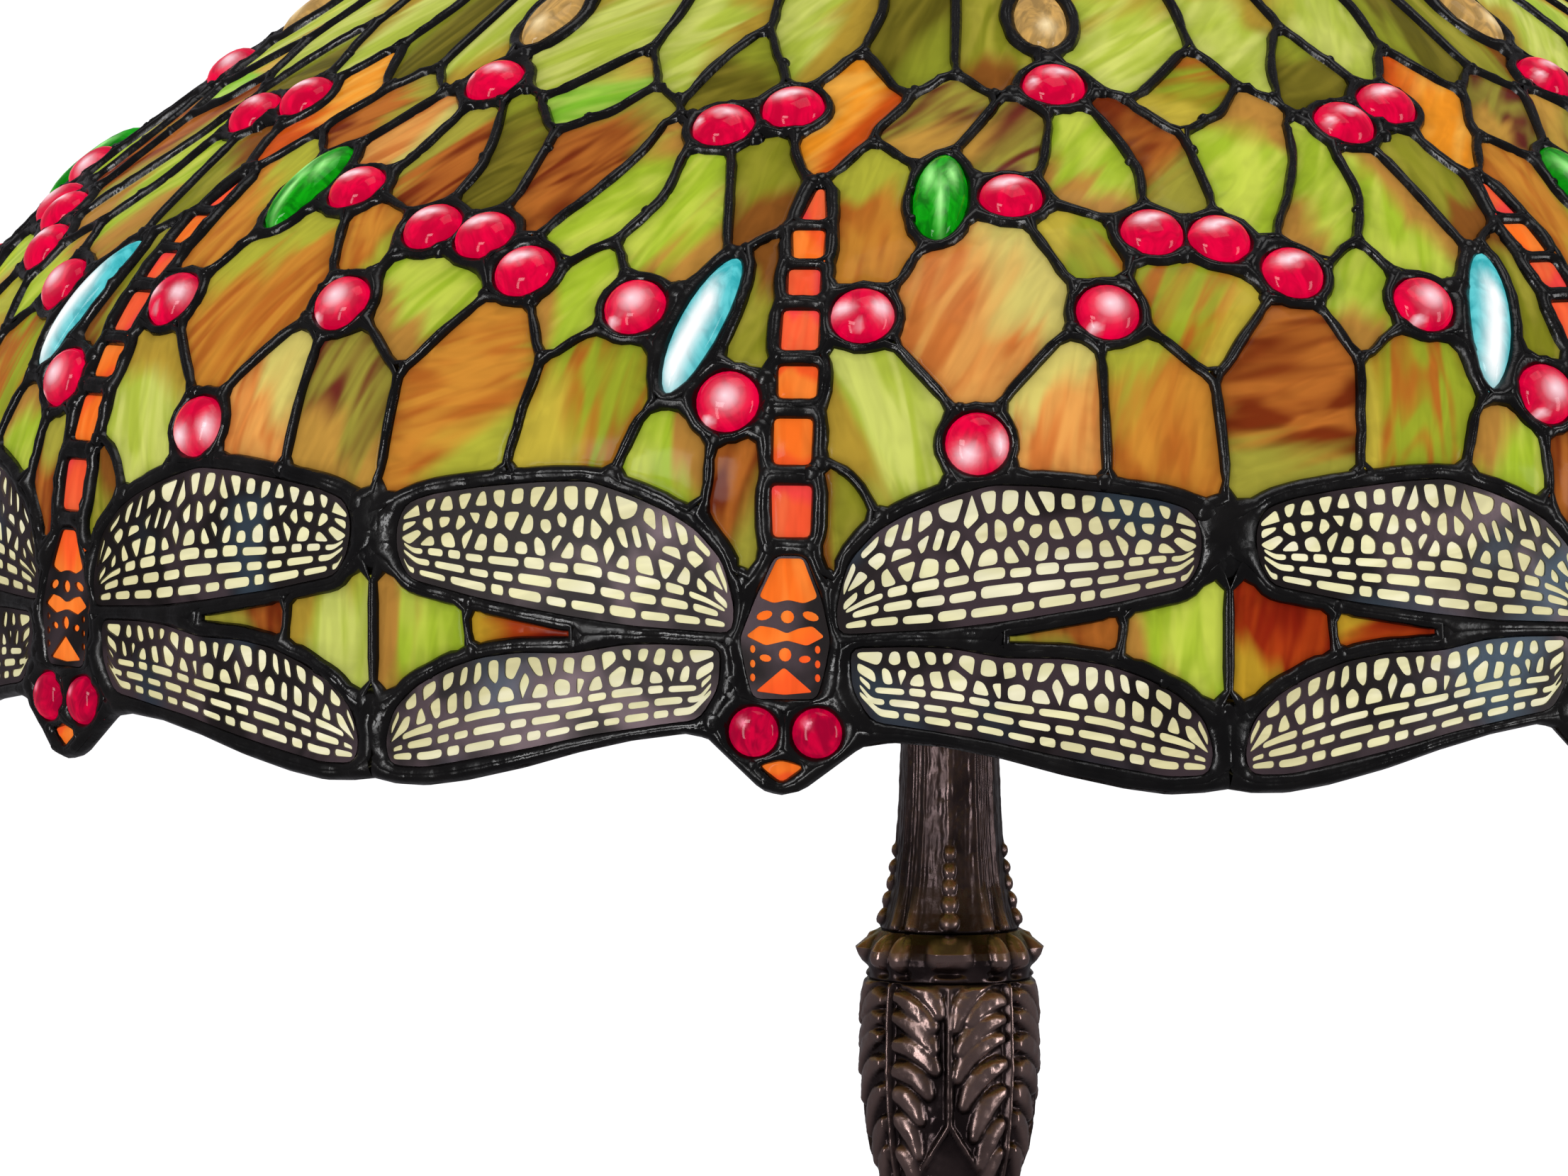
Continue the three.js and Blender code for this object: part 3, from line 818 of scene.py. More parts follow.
def thick(places, faces, low, high):
    """A closed plate between two lifts from a flat mesh of (degrees, up)."""
    count = len(places)
    top = on_shade(places[:, 0], places[:, 1], high)
    under = on_shade(places[:, 0], places[:, 1], low)
    made = list(faces) + [tuple(i + count for i in f) for f in flipped(faces)]
    edges = {(a, b) for f in faces for a, b in zip(f, f[1:] + f[:1])}
    made += [(b, a, a + count, b + count) for a, b in sorted(edges) if (b, a) not in edges]
    return np.vstack([top, under]), made


def pane_solid(loop, crown=0.35):
    """A pane as a closed solid, with each point's place and distance from the edge."""
    places, faces, away = sheet_of(loop)
    points, made = thick(places, faces, -GLASS, crown * (1 - np.exp(-away / 1.5)))
    return points, made, np.tile(places, (2, 1)), np.tile(away, 2)


def grain_of(places, angle, seed, stretch=4.5, size=8.0):
    """Coordinates for streaks that run at an angle: long along it, short across it."""
    x, y = places[:, 0] * per_degree(places[:, 1]), places[:, 1]
    c, s = math.cos(math.radians(angle)), math.sin(math.radians(angle))
    along, across = x * c + y * s, -x * s + y * c
    shift = random.Random(seed).uniform(0, 90)
    third = np.full(len(x), shift * 1.7)
    return np.column_stack([along / (size * stretch) + shift, across / size, third])


def fade_of(places, seed):
    """From 0 at one end of a pane to 1 at the other, along a direction of its own."""
    angle = random.Random(seed + 3).uniform(0, 2 * math.pi)
    along = places[:, 0] * per_degree(places[:, 1]) * math.cos(angle) + places[:, 1] * math.sin(angle)
    return (along - along.min()) / (along.max() - along.min())


pane_parts = {name: pane_solid(loop) for name, loop in pane_loops.items()}
body_parts = [(kind, pane_solid(loop, 0.6)) for (kind, _), loop in zip(TAIL, tail_loops)]
body_parts += [("flame", pane_solid(thorax_loop, 0.2)), ("flame", pane_solid(brow_loop, 0.5))]
wing_parts = [pane_solid(loop, 0.1) for loop in wing_loops]


def add_pane(pile, part, kind, angle, seed, edge_dark=0.5):
    """Adds a pane to a pile, its painted light dimmer along its edges: painted shade beside the lead."""
    points, faces, places, away = part
    tint, streak, accent, lit = KINDS[kind]
    lit *= random.Random(seed + 7).uniform(0.93, 1.07)
    # Painted shade: the glow falls to edge_dark of itself at the pane's edge.
    glow = lit * (edge_dark + (1 - edge_dark) * (1 - np.exp(-away / 1.7)))
    pile.add(
        points, faces, tint=rgb(tint), streak=rgb(streak), accent=rgb(accent),
        glow=np.repeat(glow[:, None], 3, axis=1), grain=grain_of(places, angle, seed),
        fade=fade_of(places, seed),
    )


def panel_glass(number, bearing):
    pile = Pile()
    pick = random.Random(number * 31)
    for index, (name, part) in enumerate(pane_parts.items()):
        kind, angle, _ = PANES[name]
        if number == LEFT:
            kind = LEFT_KINDS.get(name, kind)
        elif number == RIGHT:
            kind = RIGHT_KINDS.get(name, kind)
        elif number != FRONT:
            kind = pick.choice(FAMILIES[kind])
        add_pane(pile, part, kind, angle, number * 100 + index)
    for index, (kind, part) in enumerate(body_parts):
        add_pane(pile, part, kind, 90, number * 100 + 60 + index, 0.75)
    for index, part in enumerate(wing_parts):
        add_pane(pile, part, "cream", 10, number * 100 + 80 + index, 0.9)
    return pile.build(f"panel_{number}_glass", bearing, ART_GLASS, "shade", "mosaic_glass")


# ---- jewels ---------------------------------------------------------------------------------------
# Jewel colours: main colour, streak, and the colour of the painted hot spots.
JEWEL_COLOURS = {
    "ruby": ("EC003E", "C20032", "FFDCE4"),
    "eye": ("D20038", "9A002C", "FF90A8"),
    "turquoise": ("5CCCD2", "2CA6AE", "FFFFFF"),
    "green": ("0CA40E", "046A08", "A8F890"),
    "amber": ("D2A45C", "9A7A48", "F6DCA8"),
}
DOME_RINGS = (1.0, 0.96, 0.86, 0.7, 0.5, 0.27)
DOME_FOOT = 0.2


def jewel(loop, kind, height, spots, seed):
    """A domed jewel over an outline, with painted hot spots of light. A hot spot is its middle and half
    size, (x, y, wide, tall), in half widths of the jewel."""
    middle = loop.outline.mean(axis=0)
    offset = loop.outline - middle
    count = len(offset)
    rings = [middle + offset * ring for ring in DOME_RINGS] + [middle[None, :], loop.outline]
    lifts = [height * math.sqrt(1 - ring**2.4) + DOME_FOOT for ring in DOME_RINGS]
    lifts += [height + DOME_FOOT, -GLASS]
    points = np.vstack([on_shade(at[:, 0], at[:, 1], lift) for at, lift in zip(rings, lifts)])
    places = np.vstack(rings)
    x, y = ((places - middle) / np.abs(offset).max(axis=0)).T
    # hot is the painted highlight: 1 in a painted hot spot, 0 on the underside.
    hot = sum(np.exp(-(((x - sx) / wx) ** 2 + ((y - sy) / wy) ** 2)) for sx, sy, wx, wy in spots)
    hot = np.clip(hot, 0, 1)
    hot[-count:] = 0
    top = len(DOME_RINGS) * count
    low = top + 1
    faces = bands(len(DOME_RINGS), count) + fan(top - count, count, top)
    faces += [((i + 1) % count, i, low + i, low + (i + 1) % count) for i in range(count)]
    faces.append(tuple(low + i for i in reversed(range(count))))
    tint, streak, accent = (rgb(code) for code in JEWEL_COLOURS[kind])
    grain = grain_of(places, 90, seed, 1.5, 5.0)
    extra = {"tint": tint, "streak": streak, "accent": accent, "hot": hot, "grain": grain}
    return points, faces, extra


# Painted hot spots of the bulbs' light in the jewels, each (x, y, wide, tall) in half widths.
CENTRE_SPOT = [(0.06, -0.02, 0.34, 0.34), (-0.5, -0.72, 0.16, 0.1)]
CORE_SPOTS = [(t * 0.72, t * 0.8, 0.26, 0.26) for t in (-0.9, -0.5, -0.1, 0.3)]
TWO_SPOTS = [(-0.6, 0.0, 0.3, 0.22), (0.6, 0.05, 0.24, 0.3), (-0.05, -0.6, 0.1, 0.1)]
BROW_SPOT = [(0.1, 0.16, 0.36, 0.17), (-0.7, -0.2, 0.12, 0.16)]
CORNER_SPOT = [(-0.3, 0.14, 0.3, 0.2), (0.05, 0.3, 0.3, 0.14)]
LOW_SPOTS = [(-0.3, -0.45, 0.35, 0.3), (0.7, -0.1, 0.2, 0.35)]
EYE_SPOT = [(-0.35, 0.4, 0.16, 0.14)]
GREEN_SPOTS = [(-0.4, 0.25, 0.2, 0.3), (0.42, 0.3, 0.17, 0.26), (0.0, -0.3, 0.12, 0.5)]
AMBER_SPOT = [(0.1, -0.5, 0.3, 0.2)]
RUBY_SPOTS = [
    BROW_SPOT, CORNER_SPOT, CORNER_SPOT, BROW_SPOT, CORNER_SPOT, CORNER_SPOT, CORNER_SPOT,
    CENTRE_SPOT, TWO_SPOTS, CENTRE_SPOT, CENTRE_SPOT, LOW_SPOTS,
]


def panel_jewels(number, bearing):
    pick = random.Random(number * 17)
    placed = []
    for index, loop in enumerate(ruby_loops):
        spots = RUBY_SPOTS[index] if number in (FRONT, RIGHT, LEFT) else pick.choice(RUBY_SPOTS)
        placed.append((loop, "ruby", 4.6, spots, index))
    placed += [(loop, "eye", 3.8, EYE_SPOT, 20 + index) for index, loop in enumerate(eye_loops)]
    placed.append((navette_loop, "turquoise", 3.6, CORE_SPOTS, 30))
    placed.append((green_loop, "green", 4.6, GREEN_SPOTS, 31))
    placed.append((amber_loop, "amber", 4.0, AMBER_SPOT, 32))
    pile = Pile()
    for loop, kind, height, spots, seed in placed:
        points, faces, extra = jewel(loop, kind, height, spots, number * 50 + seed)
        pile.add(points, faces, **extra)
    return pile.build(f"panel_{number}_jewels", bearing, JEWEL_GLASS, "shade", "mosaic_glass")


# ---- lead -----------------------------------------------------------------------------------------
# The section of a lead line from a pane's edge to the ridge: (share of the way, share of the height).
BEAD = ((-0.12, -0.35), (0.0, 0.3), (0.14, 0.62), (0.4, 0.88), (0.7, 0.98), (1.0, 1.0), (1.12, 0.8))
FLAT_BEAD = ((-0.12, -0.35), (0.0, 0.6), (0.5, 0.95), (1.0, 1.0), (1.12, 0.75))
INSIDE_HEIGHT = 0.9
HIGHEST_LEAD = 2.3
# The wall between the outer and inner lead at an open edge: (lift, distance outwards).
EDGE_WALL = ((0.5, 0.0), (-0.5, 0.5), (-2.5, 0.5), (-GLASS - 0.5, 0.0))
BLOB_SIDES = 9
BLOB_RINGS = ((1.1, -0.3), (0.92, 0.42), (0.68, 0.8), (0.36, 0.97))  # shares of the room and height


def lumps(points, size, seed=0.0):
    """Smooth lumpiness from -1 to 1 at each point."""
    return np.array([noise.noise(Vector(p / size) + Vector((seed, 0, 0))) for p in points])


def strip(loop, far, section, height, base, closed=True, down=False):
    """A band of faces from an outline to just past the ridge of its lead."""
    far, height = far[:, None], np.asarray(height)[:, None]
    rows = []
    for along, up in section:
        reach_out = np.where(along < 0, along * 3.0, far * along)
        rise = base - height * up if down else base + height * up
        rows.append(loop.points + loop.side * reach_out + loop.out * rise)
    faces = bands(len(section), len(loop.points), closed)
    return np.vstack(rows), flipped(faces) if down else faces


def bead_height(loop, far):
    """Height of the ridge: wide lead stands higher and is lumpier."""
    ridge = loop.points + loop.side * far[:, None]
    heavy = np.clip((far - THIN_LEAD) / 1.2, 0, 1)
    rough = 1 + (0.12 + 0.4 * heavy) * lumps(ridge, 4.2) + (0.05 + 0.25 * heavy) * lumps(ridge, 1.8, 9)
    return np.clip(0.75 + 0.62 * np.minimum(far, 2.6), 0, HIGHEST_LEAD) * rough


JOINT_SHARE = 1.15  # a joint has this many times the half width of its lead line
JOINT_LIMIT = 9  # and less than this
JOINTS_APART = 1.5


def joints(loops, reaches, points):
    """Where lead lines meet: the places whose ridge is locally farthest from any glass."""
    found = []
    for loop, far in zip(loops, reaches):
        around = np.max([np.roll(far, k) for k in (-3, -2, -1, 1, 2, 3)], axis=0)
        wide = (far > JOINT_SHARE * loop.lead_width) & (far < JOINT_LIMIT)
        for i in np.flatnonzero((far >= around) & wide):
            middle = loop.points[i] + loop.side[i] * far[i]
            room = np.sqrt(((points - middle) ** 2).sum(axis=1)).min()
            if room > 0.8 * far[i]:
                found.append((room, middle, loop.out[i], loop.right[i]))
    found.sort(key=lambda joint: -joint[0])
    kept = []
    for joint in found:
        if all(np.linalg.norm(joint[1] - other[1]) > JOINTS_APART for other in kept):
            kept.append(joint)
    return kept


def blob(joint, height, base, seed):
    """A drop of solder over a joint; a height below zero makes one on the inside."""
    far, middle, out, right = joint
    rise = np.cross(out, right)
    pick = random.Random(seed)
    points = []
    for size, up in BLOB_RINGS:
        for i in range(BLOB_SIDES):
            a = 2 * math.pi * (i + 0.5) / BLOB_SIDES
            r = far * size * pick.uniform(0.94, 1.04)
            lift = base + height * up * pick.uniform(0.92, 1.08)
            points.append(middle + right * r * math.cos(a) + rise * r * math.sin(a) + out * lift)
    top = len(points)
    points.append(middle + out * (base + height))
    faces = bands(len(BLOB_RINGS), BLOB_SIDES) + fan(top - BLOB_SIDES, BLOB_SIDES, top)
    return points, faces if height > 0 else flipped(faces)


def edge_wall(loop):
    """Closes the edge of the shade between the outer and the inner lead."""
    rows = [loop.points + loop.out * lift - loop.side * push for lift, push in EDGE_WALL]
    return np.vstack(rows), flipped(bands(len(rows), len(loop.points), closed=False))


def panel_lead():
    pile = Pile()
    points, widths = stacked(every_loop + borders, (0.0, -PANEL, PANEL))
    reaches = [reach(loop, points, widths)[0] for loop in every_loop + borders]
    for loop, far in zip(every_loop + borders, reaches):
        outer, inner = (BEAD, FLAT_BEAD) if loop.closed else (BEAD[1:], FLAT_BEAD[1:])
        flat = np.full(len(far), INSIDE_HEIGHT)
        pile.add(*strip(loop, far, outer, bead_height(loop, far), 0.0, loop.closed))
        pile.add(*strip(loop, far, inner, flat, -GLASS, loop.closed, down=True))
        if not loop.closed:
            pile.add(*edge_wall(loop))
    for index, joint in enumerate(joints(every_loop, reaches, points)):
        pile.add(*blob(joint, min(0.9 + 0.55 * joint[0], HIGHEST_LEAD), 0.0, index))
        pile.add(*blob(joint, -1.0, -GLASS, index))
    return pile


# ---- filigree on the wings and the thorax ---------------------------------------------------------
def clip(polygon, middle, direction):
    """The part of a polygon on the near side of a line through middle, square to direction."""
    kept = []
    for a, b in zip(polygon, polygon[1:] + polygon[:1]):
        da, db = np.dot(a - middle, direction), np.dot(b - middle, direction)
        if da <= 0:
            kept.append(a)
        if (da < 0 < db) or (db < 0 < da):
            kept.append(a + (b - a) * da / (da - db))
    return kept


CELL_PITCH = (4.8, 4.3)
CELL_BAR = 1.7  # metal between the round cells
HALF_BAR = 0.6  # half the metal between the long cells
SMALLEST_CELL = 2.2  # square millimetres
WING_UP = 30.0  # where the wings' degrees are turned into millimetres


def cells_in_box(wide, tall, pick):
    """Rounded cells that fill a box: jittered seeds, each with the ground nearest to it."""
    across, rows = max(1, round(wide / CELL_PITCH[0])), max(1, round(tall / CELL_PITCH[1]))
    seeds = []
    for j in range(rows):
        for i in range(across):
            x = (i + 0.5 + 0.5 * (j % 2) - 0.25 + pick.uniform(-0.36, 0.36)) * wide / across
            seeds.append(np.array([x, (j + 0.5 + pick.uniform(-0.32, 0.32)) * tall / rows]))
    found = []
    for seed in seeds:
        shape = [np.array(c, dtype=float) for c in ((0, 0), (wide, 0), (wide, tall), (0, tall))]
        for other in seeds:
            gap = other - seed
            length = np.linalg.norm(gap)
            if 0 < length < 4 * max(CELL_PITCH):
                shape = clip(shape, seed + gap * (0.5 - CELL_BAR / 2 / length), gap / length)
        if len(shape) > 2:
            found.append(np.array(shape))
    return found


def bricks(wide, tall, rows, pick):
    """Rows of long cells of uneven length that fill a box."""
    found = []
    for row in range(rows):
        x = pick.uniform(-4, 0)
        while x < wide:
            length = pick.uniform(4.5, 11.5)
            a, b = max(x, 0) + HALF_BAR, min(x + length, wide) - HALF_BAR
            low = row / rows * tall + HALF_BAR
            high = (row + 1) / rows * tall - HALF_BAR + pick.uniform(-0.5, 0.1)
            if b - a > 1.6:
                middle = (a + b) / 2
                corners = [(a, low), (middle, low), (b, low), (b, high), (middle, high), (a, high)]
                found.append(np.array(corners))
            x += length
    return found


def wing_cells(plate, brick_share, brick_rows, pick):
    """Cells of one wing: long bricks along the lower edge, rounder cells above."""
    plate = np.array(plate)
    left, right = plate[:, 0].min() + 0.35, plate[:, 0].max() - 0.3
    tip = int(np.argmax(plate[:, 0]))
    upper, lower = plate[: tip + 1], plate[tip:][::-1]

    def edges_at(degrees):
        bottom = np.interp(degrees, lower[:, 0], lower[:, 1]) + 1.0
        return bottom, np.interp(degrees, upper[:, 0], upper[:, 1]) - 1.0

    bottoms, tops = edges_at(np.linspace(left, right, 20))
    wide = (right - left) * per_degree(WING_UP)
    tall = float(np.mean(tops - bottoms))
    shapes = bricks(wide, tall * brick_share, brick_rows, pick)
    for shape in cells_in_box(wide, tall * (1 - brick_share), pick):
        shapes.append(shape + np.array([0, tall * brick_share]))
    found = []
    for shape in shapes:
        degrees = left + shape[:, 0] / per_degree(WING_UP)
        bottom, top = edges_at(degrees)
        squeeze = np.clip((top - bottom) / tall, 0.05, 2)
        if squeeze.min() > 0.24:
            found.append(np.column_stack([degrees, bottom + shape[:, 1] * squeeze]))
    return found


def loops_of_cells(shapes, sign=1):
    """Rounded openings from cells, or from their mirror images with sign -1."""
    made = []
    for shape in shapes:
        flat = shape * np.array([per_degree(WING_UP), 1.0])
        if abs(signed_area(flat)) > SMALLEST_CELL:
            made.append(Loop(rounded(shape * np.array([sign, 1.0]), 1.3, 1.3)))
    return made


# Openings over the thorax: corners and how far they are cut off.
THORAX_SHAPES = [
    ([
        (-0.4, 57.9), (0.9, 57.9), (1.66, 48.4), (0.95, 46.9), (0.15, 47.8), (-0.6, 46.9),
        (-1.33, 48.4),
    ], 1.0),
    ([
        (-2.0, 38.8), (-1.3, 41.4), (-0.5, 40.8), (0.1, 39.5), (0.7, 40.8), (1.4, 41.4), (2.0, 38.8),
        (1.1, 36.5), (0.1, 37.8), (-1.0, 36.5),
    ], 0.8),
    ([(-0.05, 31.2), (-1.5, 25.2), (-0.05, 24.4), (1.4, 25.1)], 0.8),
]
# Degrees, up, half width, half height and tilt of the round ones.
THORAX_OVALS = [
    (0.12, 43.6, 1.7, 1.6, 0), (0.0, 34.3, 1.6, 1.7, 0),
    (-1.05, 43.9, 2.1, 1.1, -18), (1.3, 43.8, 2.1, 1.1, 18),
    (-1.0, 33.4, 1.5, 0.9, 8), (1.0, 33.2, 1.5, 0.9, -8),
]


def thorax_cells():
    """Openings in the metal over the thorax: two rings with bars to the wings, and a triangle."""
    shapes = [rounded(corners, cut, 1.3) for corners, cut in THORAX_SHAPES]
    shapes += [oval(*place, count=12) for place in THORAX_OVALS]
    for side in (-1, 1):
        shapes += [oval(side * 1.65, up, 0.7, 1.0, count=10) for up in (35.6, 32.0, 28.6)]
    return [Loop(shape) for shape in shapes]


def pierced_plate(loop, cells, low, high, margin):
    """A thin closed plate over an outline with a hole for each cell that leaves a margin to its edge."""
    scale = flattening(loop.outline)
    border = loop.outline * scale
    flats = [cell.outline * scale for cell in cells]
    holes = [flat for flat in flats if nearest(flat, border).min() > margin and inside(flat, border).all()]
    edges, start = [], len(border)
    for flat in holes:
        count = len(flat)
        edges += [(start + i, start + (i + 1) % count) for i in range(count)]
        start += count
    verts, found = triangles(np.vstack([border, *holes]), edges, len(border))
    middles = verts[np.array(found)].mean(axis=1)
    open_ = np.zeros(len(found), dtype=bool)
    for flat in holes:
        open_ |= inside(middles, flat)
    faces = [face for face, cut in zip(found, open_) if not cut]
    return thick(verts / scale, faces, low, high)


def panel_filigree():
    pile = Pile()
    upper = wing_cells(UPPER_WING, 0.42, 3, random.Random(11))
    lower = wing_cells(LOWER_WING, 0.52, 3, random.Random(23))
    plates = [
        (wing_loops[0], loops_of_cells(upper), 0.5),
        (wing_loops[1], loops_of_cells(upper, -1), 0.5),
        (wing_loops[2], loops_of_cells(lower), 0.5),
        (wing_loops[3], loops_of_cells(lower, -1), 0.5),
        (thorax_loop, thorax_cells(), 0.15),
    ]
    for plate, cells, margin in plates:
        pile.add(*pierced_plate(plate, cells, 0.25, 0.95, margin))
    return pile


# ---- make the shade -------------------------------------------------------------------------------
lead_pile = panel_lead()
filigree_pile = panel_filigree()
for number in range(1, PANELS + 1):
    bearing = FIRST_BEARING + PANEL * (number - 1)
    name = f"panel_{number}"
    glass = panel_glass(number, bearing)
    panel_jewels(number, bearing)
    lead_pile.build(f"{name}_lead", bearing, LEAD, "shade", "mosaic_glass")
    filigree_pile.build(f"{name}_filigree", bearing, FILIGREE, "shade", "mosaic_glass", smooth=False)
    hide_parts(f"shade_panel_{number}")


# ---- cast bronze column ---------------------------------------------------------------------------
def lathe(name, node, outline, relief, around=288, step=0.8, bore=5.5, body="base"):
    """A fine turned casting. relief(bearing, height) gives how far it stands out, in arrays."""
    outline = np.array(outline, dtype=float)
    lengths = np.concatenate([[0], np.cumsum(np.hypot(*np.diff(outline, axis=0).T))])
    marks = np.unique(np.concatenate([np.arange(0, lengths[-1], step), lengths]))
    r, z = np.interp(marks, lengths, outline[:, 0]), np.interp(marks, lengths, outline[:, 1])
    bearing = np.linspace(-180, 180, around, endpoint=False)
    grid_b, grid_z = np.meshgrid(bearing, z)
    calm = np.clip(np.minimum(marks, marks[-1] - marks), 0, 1)[:, None]
    offset = relief(grid_b, grid_z) * calm
    inner = np.full((2, around), bore)
    rows_r = np.vstack([r[:, None] + offset, inner])
    rows_z = np.concatenate([z, [z[-1], z[0]]])
    # The raised relief is marked lighter: partly rubbed wear, partly a painted highlight.
    wear = np.vstack([np.clip((offset - 0.25) / 1.1, 0, 1), np.zeros((2, around))])
    a = np.radians(bearing)
    high = np.repeat(rows_z[:, None], around, 1)
    points = np.stack([rows_r * np.sin(a), -rows_r * np.cos(a), high], axis=2).reshape(-1, 3)
    faces = bands(len(rows_z), around, ring=True)
    made = make_mesh(name, points, faces, BRONZE, body, "bronze", wear=wear.ravel())
    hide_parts(node)


def folded(bearing):
    """Degrees from the middle of the nearest of the column's four faces."""
    return (bearing + 45) % 90 - 45


def hill(value, width):
    return np.exp(-((value / width) ** 2))


def cloud(bearing, height, size, seed):
    """Slow unevenness of hammered metal, from -1 to 1."""
    places = np.stack([np.sin(np.radians(bearing)) * 20, np.cos(np.radians(bearing)) * 20, height], axis=-1)
    flat = places.reshape(-1, 3) / size
    return np.array([noise.noise(Vector(p) + Vector((0, seed, 0))) for p in flat]).reshape(bearing.shape)


def dome(square):
    """The height of a half ball over a squared distance, for a radius of one."""
    return np.sqrt(np.clip(1 - square, 0, 1))


NECK = [
    (18.4, 299), (16.8, 304), (15.2, 311), (14.1, 320), (13.3, 331), (12.8, 344), (12.6, 372), (13, 386),
    (14.4, 389), (14.4, 396),
]
BEADS = ((302.2, 1.5), (306.8, 1.4), (311.2, 1.3), (315.4, 1.2), (320.0, 1.1))


def neck_relief(bearing, height):
    """A row of beads on a thin rib up each face, and between them grooves that spread at the foot."""
    a = folded(bearing)
    across = np.radians(a) * 15
    offset = 0.5 * hill(across, 1.2) * np.clip((height - 316) / 6, 0, 1)
    for up, size in BEADS:
        bead = dome((across / 1.5 / size) ** 2 + ((height - up) / 1.7 / size) ** 2)
        offset = np.maximum(offset, 1.35 * size * bead)
    edge = np.abs(np.abs(a) - 45)
    flare = np.clip((317 - height) / 17, 0, 1) ** 2
    offset += 0.5 * hill(edge - 14, 1.8) + 1.7 * flare * hill(edge - 8.5, 4.5) - 1.0 * flare * hill(edge, 4)
    grooves = 0.5 - 0.5 * np.cos(np.radians(edge) * 66)
    offset -= (0.36 + 0.3 * flare) * hill(edge, 13) * grooves
    offset += 0.12 * cloud(bearing, height, 1.6, 3) + 0.14 * cloud(bearing, height * 0.25, 1.2, 8)
    return offset * np.clip((388 - height) / 3, 0, 1)


COLLAR = [(21.8, 286), (22.2, 288.4), (22.8, 290.5), (22.8, 292), (22.2, 294), (21, 296.2), (19.2, 298.7)]


def collar_relief(bearing, height):
    """A lipped pad over each face, and a pair of scroll ends beside each corner."""
    a = folded(bearing)
    pad = np.clip(1.3 - (a / 15) ** 2, 0, 1) * np.clip(1 - np.abs(height - 294.0) / 4.6, 0, 1)
    slot = hill(a, 8.5) * hill(height - 288.4, 0.9)
    tongue = 0.7 * dome((a / 13) ** 2 + ((height - 286.5) / 2.4) ** 2)
    scroll = dome(((np.abs(a) - 36) / 7.6) ** 2 + ((height - 293.4) / 5.4) ** 2)
    hollow = hill(np.abs(a) - 34.5, 6) * hill(height - 287.8, 1.5)
    bead = dome((np.radians(a) * 22 / 2.2) ** 2 + ((height - 297.6) / 2.2) ** 2)
    shape = np.maximum.reduce([3.0 * pad, 2.9 * scroll, 1.6 * bead, tongue])
    return shape - 2.0 * slot - 2.2 * hollow + 0.14 * cloud(bearing, height, 2.0, 5)


LEAVES = [
    (15.2, 210), (16.8, 220), (19.2, 231), (21.2, 240), (22.3, 250), (23.1, 262), (22.9, 276), (22.2, 285.7),
]
# Curled lobes of the leaf on the two halves of a face: start, bend and end as (across, height).
LOBES = [
    ((-3.5, 278), (-5.8, 286), (-12, 286)), ((-5, 274.5), (-9, 280), (-15, 282)),
    ((-4.9, 268.5), (-8, 275), (-15.5, 276.5)), ((-4.4, 263), (-8, 270), (-16, 269)),
    ((-6.2, 256.5), (-9.5, 263.5), (-16.5, 262)), ((-8.5, 249.5), (-12, 257), (-16.5, 255.5)),
    ((-9, 240), (-12, 249), (-16, 249)), ((-9.5, 230), (-12, 240), (-15, 240)),
    ((2.4, 274.5), (3.8, 283.5), (10.5, 286.4)), ((6, 276), (9, 282), (15, 281)),
    ((3.4, 268), (7, 275.5), (14.5, 276)), ((2.9, 261), (6, 270), (14, 271)),
    ((4.4, 253.5), (8, 263), (15.5, 264)), ((7.5, 245), (10, 254), (15.5, 256.5)),
    ((9, 237), (12, 246), (16, 248)), ((9.5, 228), (12, 238), (15, 240)),
]
FORK_HEIGHT = 248


def lobe(x, height, start, bend, end):
    """A raised lobe along a curve, thick in the middle, with a groove along its underside."""
    closest = np.full(x.shape, 1e9)
    below = np.full(x.shape, 1e9)
    for t in np.linspace(0, 1, 13):
        ends = zip(start, bend, end)
        across, up = ((1 - t) ** 2 * s + 2 * t * (1 - t) * b + t * t * e for s, b, e in ends)
        width = 1.4 + 2.2 * math.sin(math.pi * (0.15 + 0.75 * t))
        closest = np.minimum(closest, ((x - across) ** 2 + (height - up) ** 2) / width**2)
        below = np.minimum(below, (x - across) ** 2 + (height - up + 1.15 * width) ** 2)
    return 2.4 * np.sqrt(np.clip(1.1 - closest, 0, 1)) - 1.1 * np.exp(-below / 0.9)


def leaf_relief(bearing, height):
    """Each face has a stem that forks at its foot and a leaf of curled lobes on each side of it."""
    a = folded(bearing)
    r = np.interp(height, [p[1] for p in LEAVES], [p[0] for p in LEAVES])
    x = np.radians(a) * r
    fork = 0.62 * np.clip(FORK_HEIGHT - height, 0, 60)
    stem = 1.5 * dome(((np.abs(x) - fork) / 1.25) ** 2)
    tongue = 1.6 * dome((a / 14) ** 2 + ((height - 287) / 4.2) ** 2)
    leaf = np.max([lobe(x, height, *marks) for marks in LOBES], axis=0)
    edge = 45 - np.abs(a)
    frame_edge = 1.2 * hill(edge, 1.5) - 0.9 * hill(edge - 3.6, 1.4)
    floor_depth = -0.9 * np.clip((edge - 2) / 3, 0, 1)
    rough = 0.2 * cloud(bearing, height, 2.2, 11) + 0.1 * cloud(bearing, height, 0.9, 31)
    field = np.clip((edge - 3) / 2, 0, 1)
    return np.maximum.reduce([stem, tongue, leaf * field]) + floor_depth + frame_edge + rough


KNOP = [(17.2, 196), (20.6, 199), (21.7, 203), (20.6, 207), (16.6, 209.7)]


def knop_relief(bearing, height):
    """24 gadroons round the knop."""
    return 0.7 * (0.5 + 0.5 * np.cos(np.radians(bearing) * 24)) * hill(height - 203, 4) - 0.2


STEM = [
    (28, 62.3), (23, 72), (18.5, 90), (15.6, 116), (14.2, 146), (13.8, 168), (14.6, 184), (17, 195.7),
]


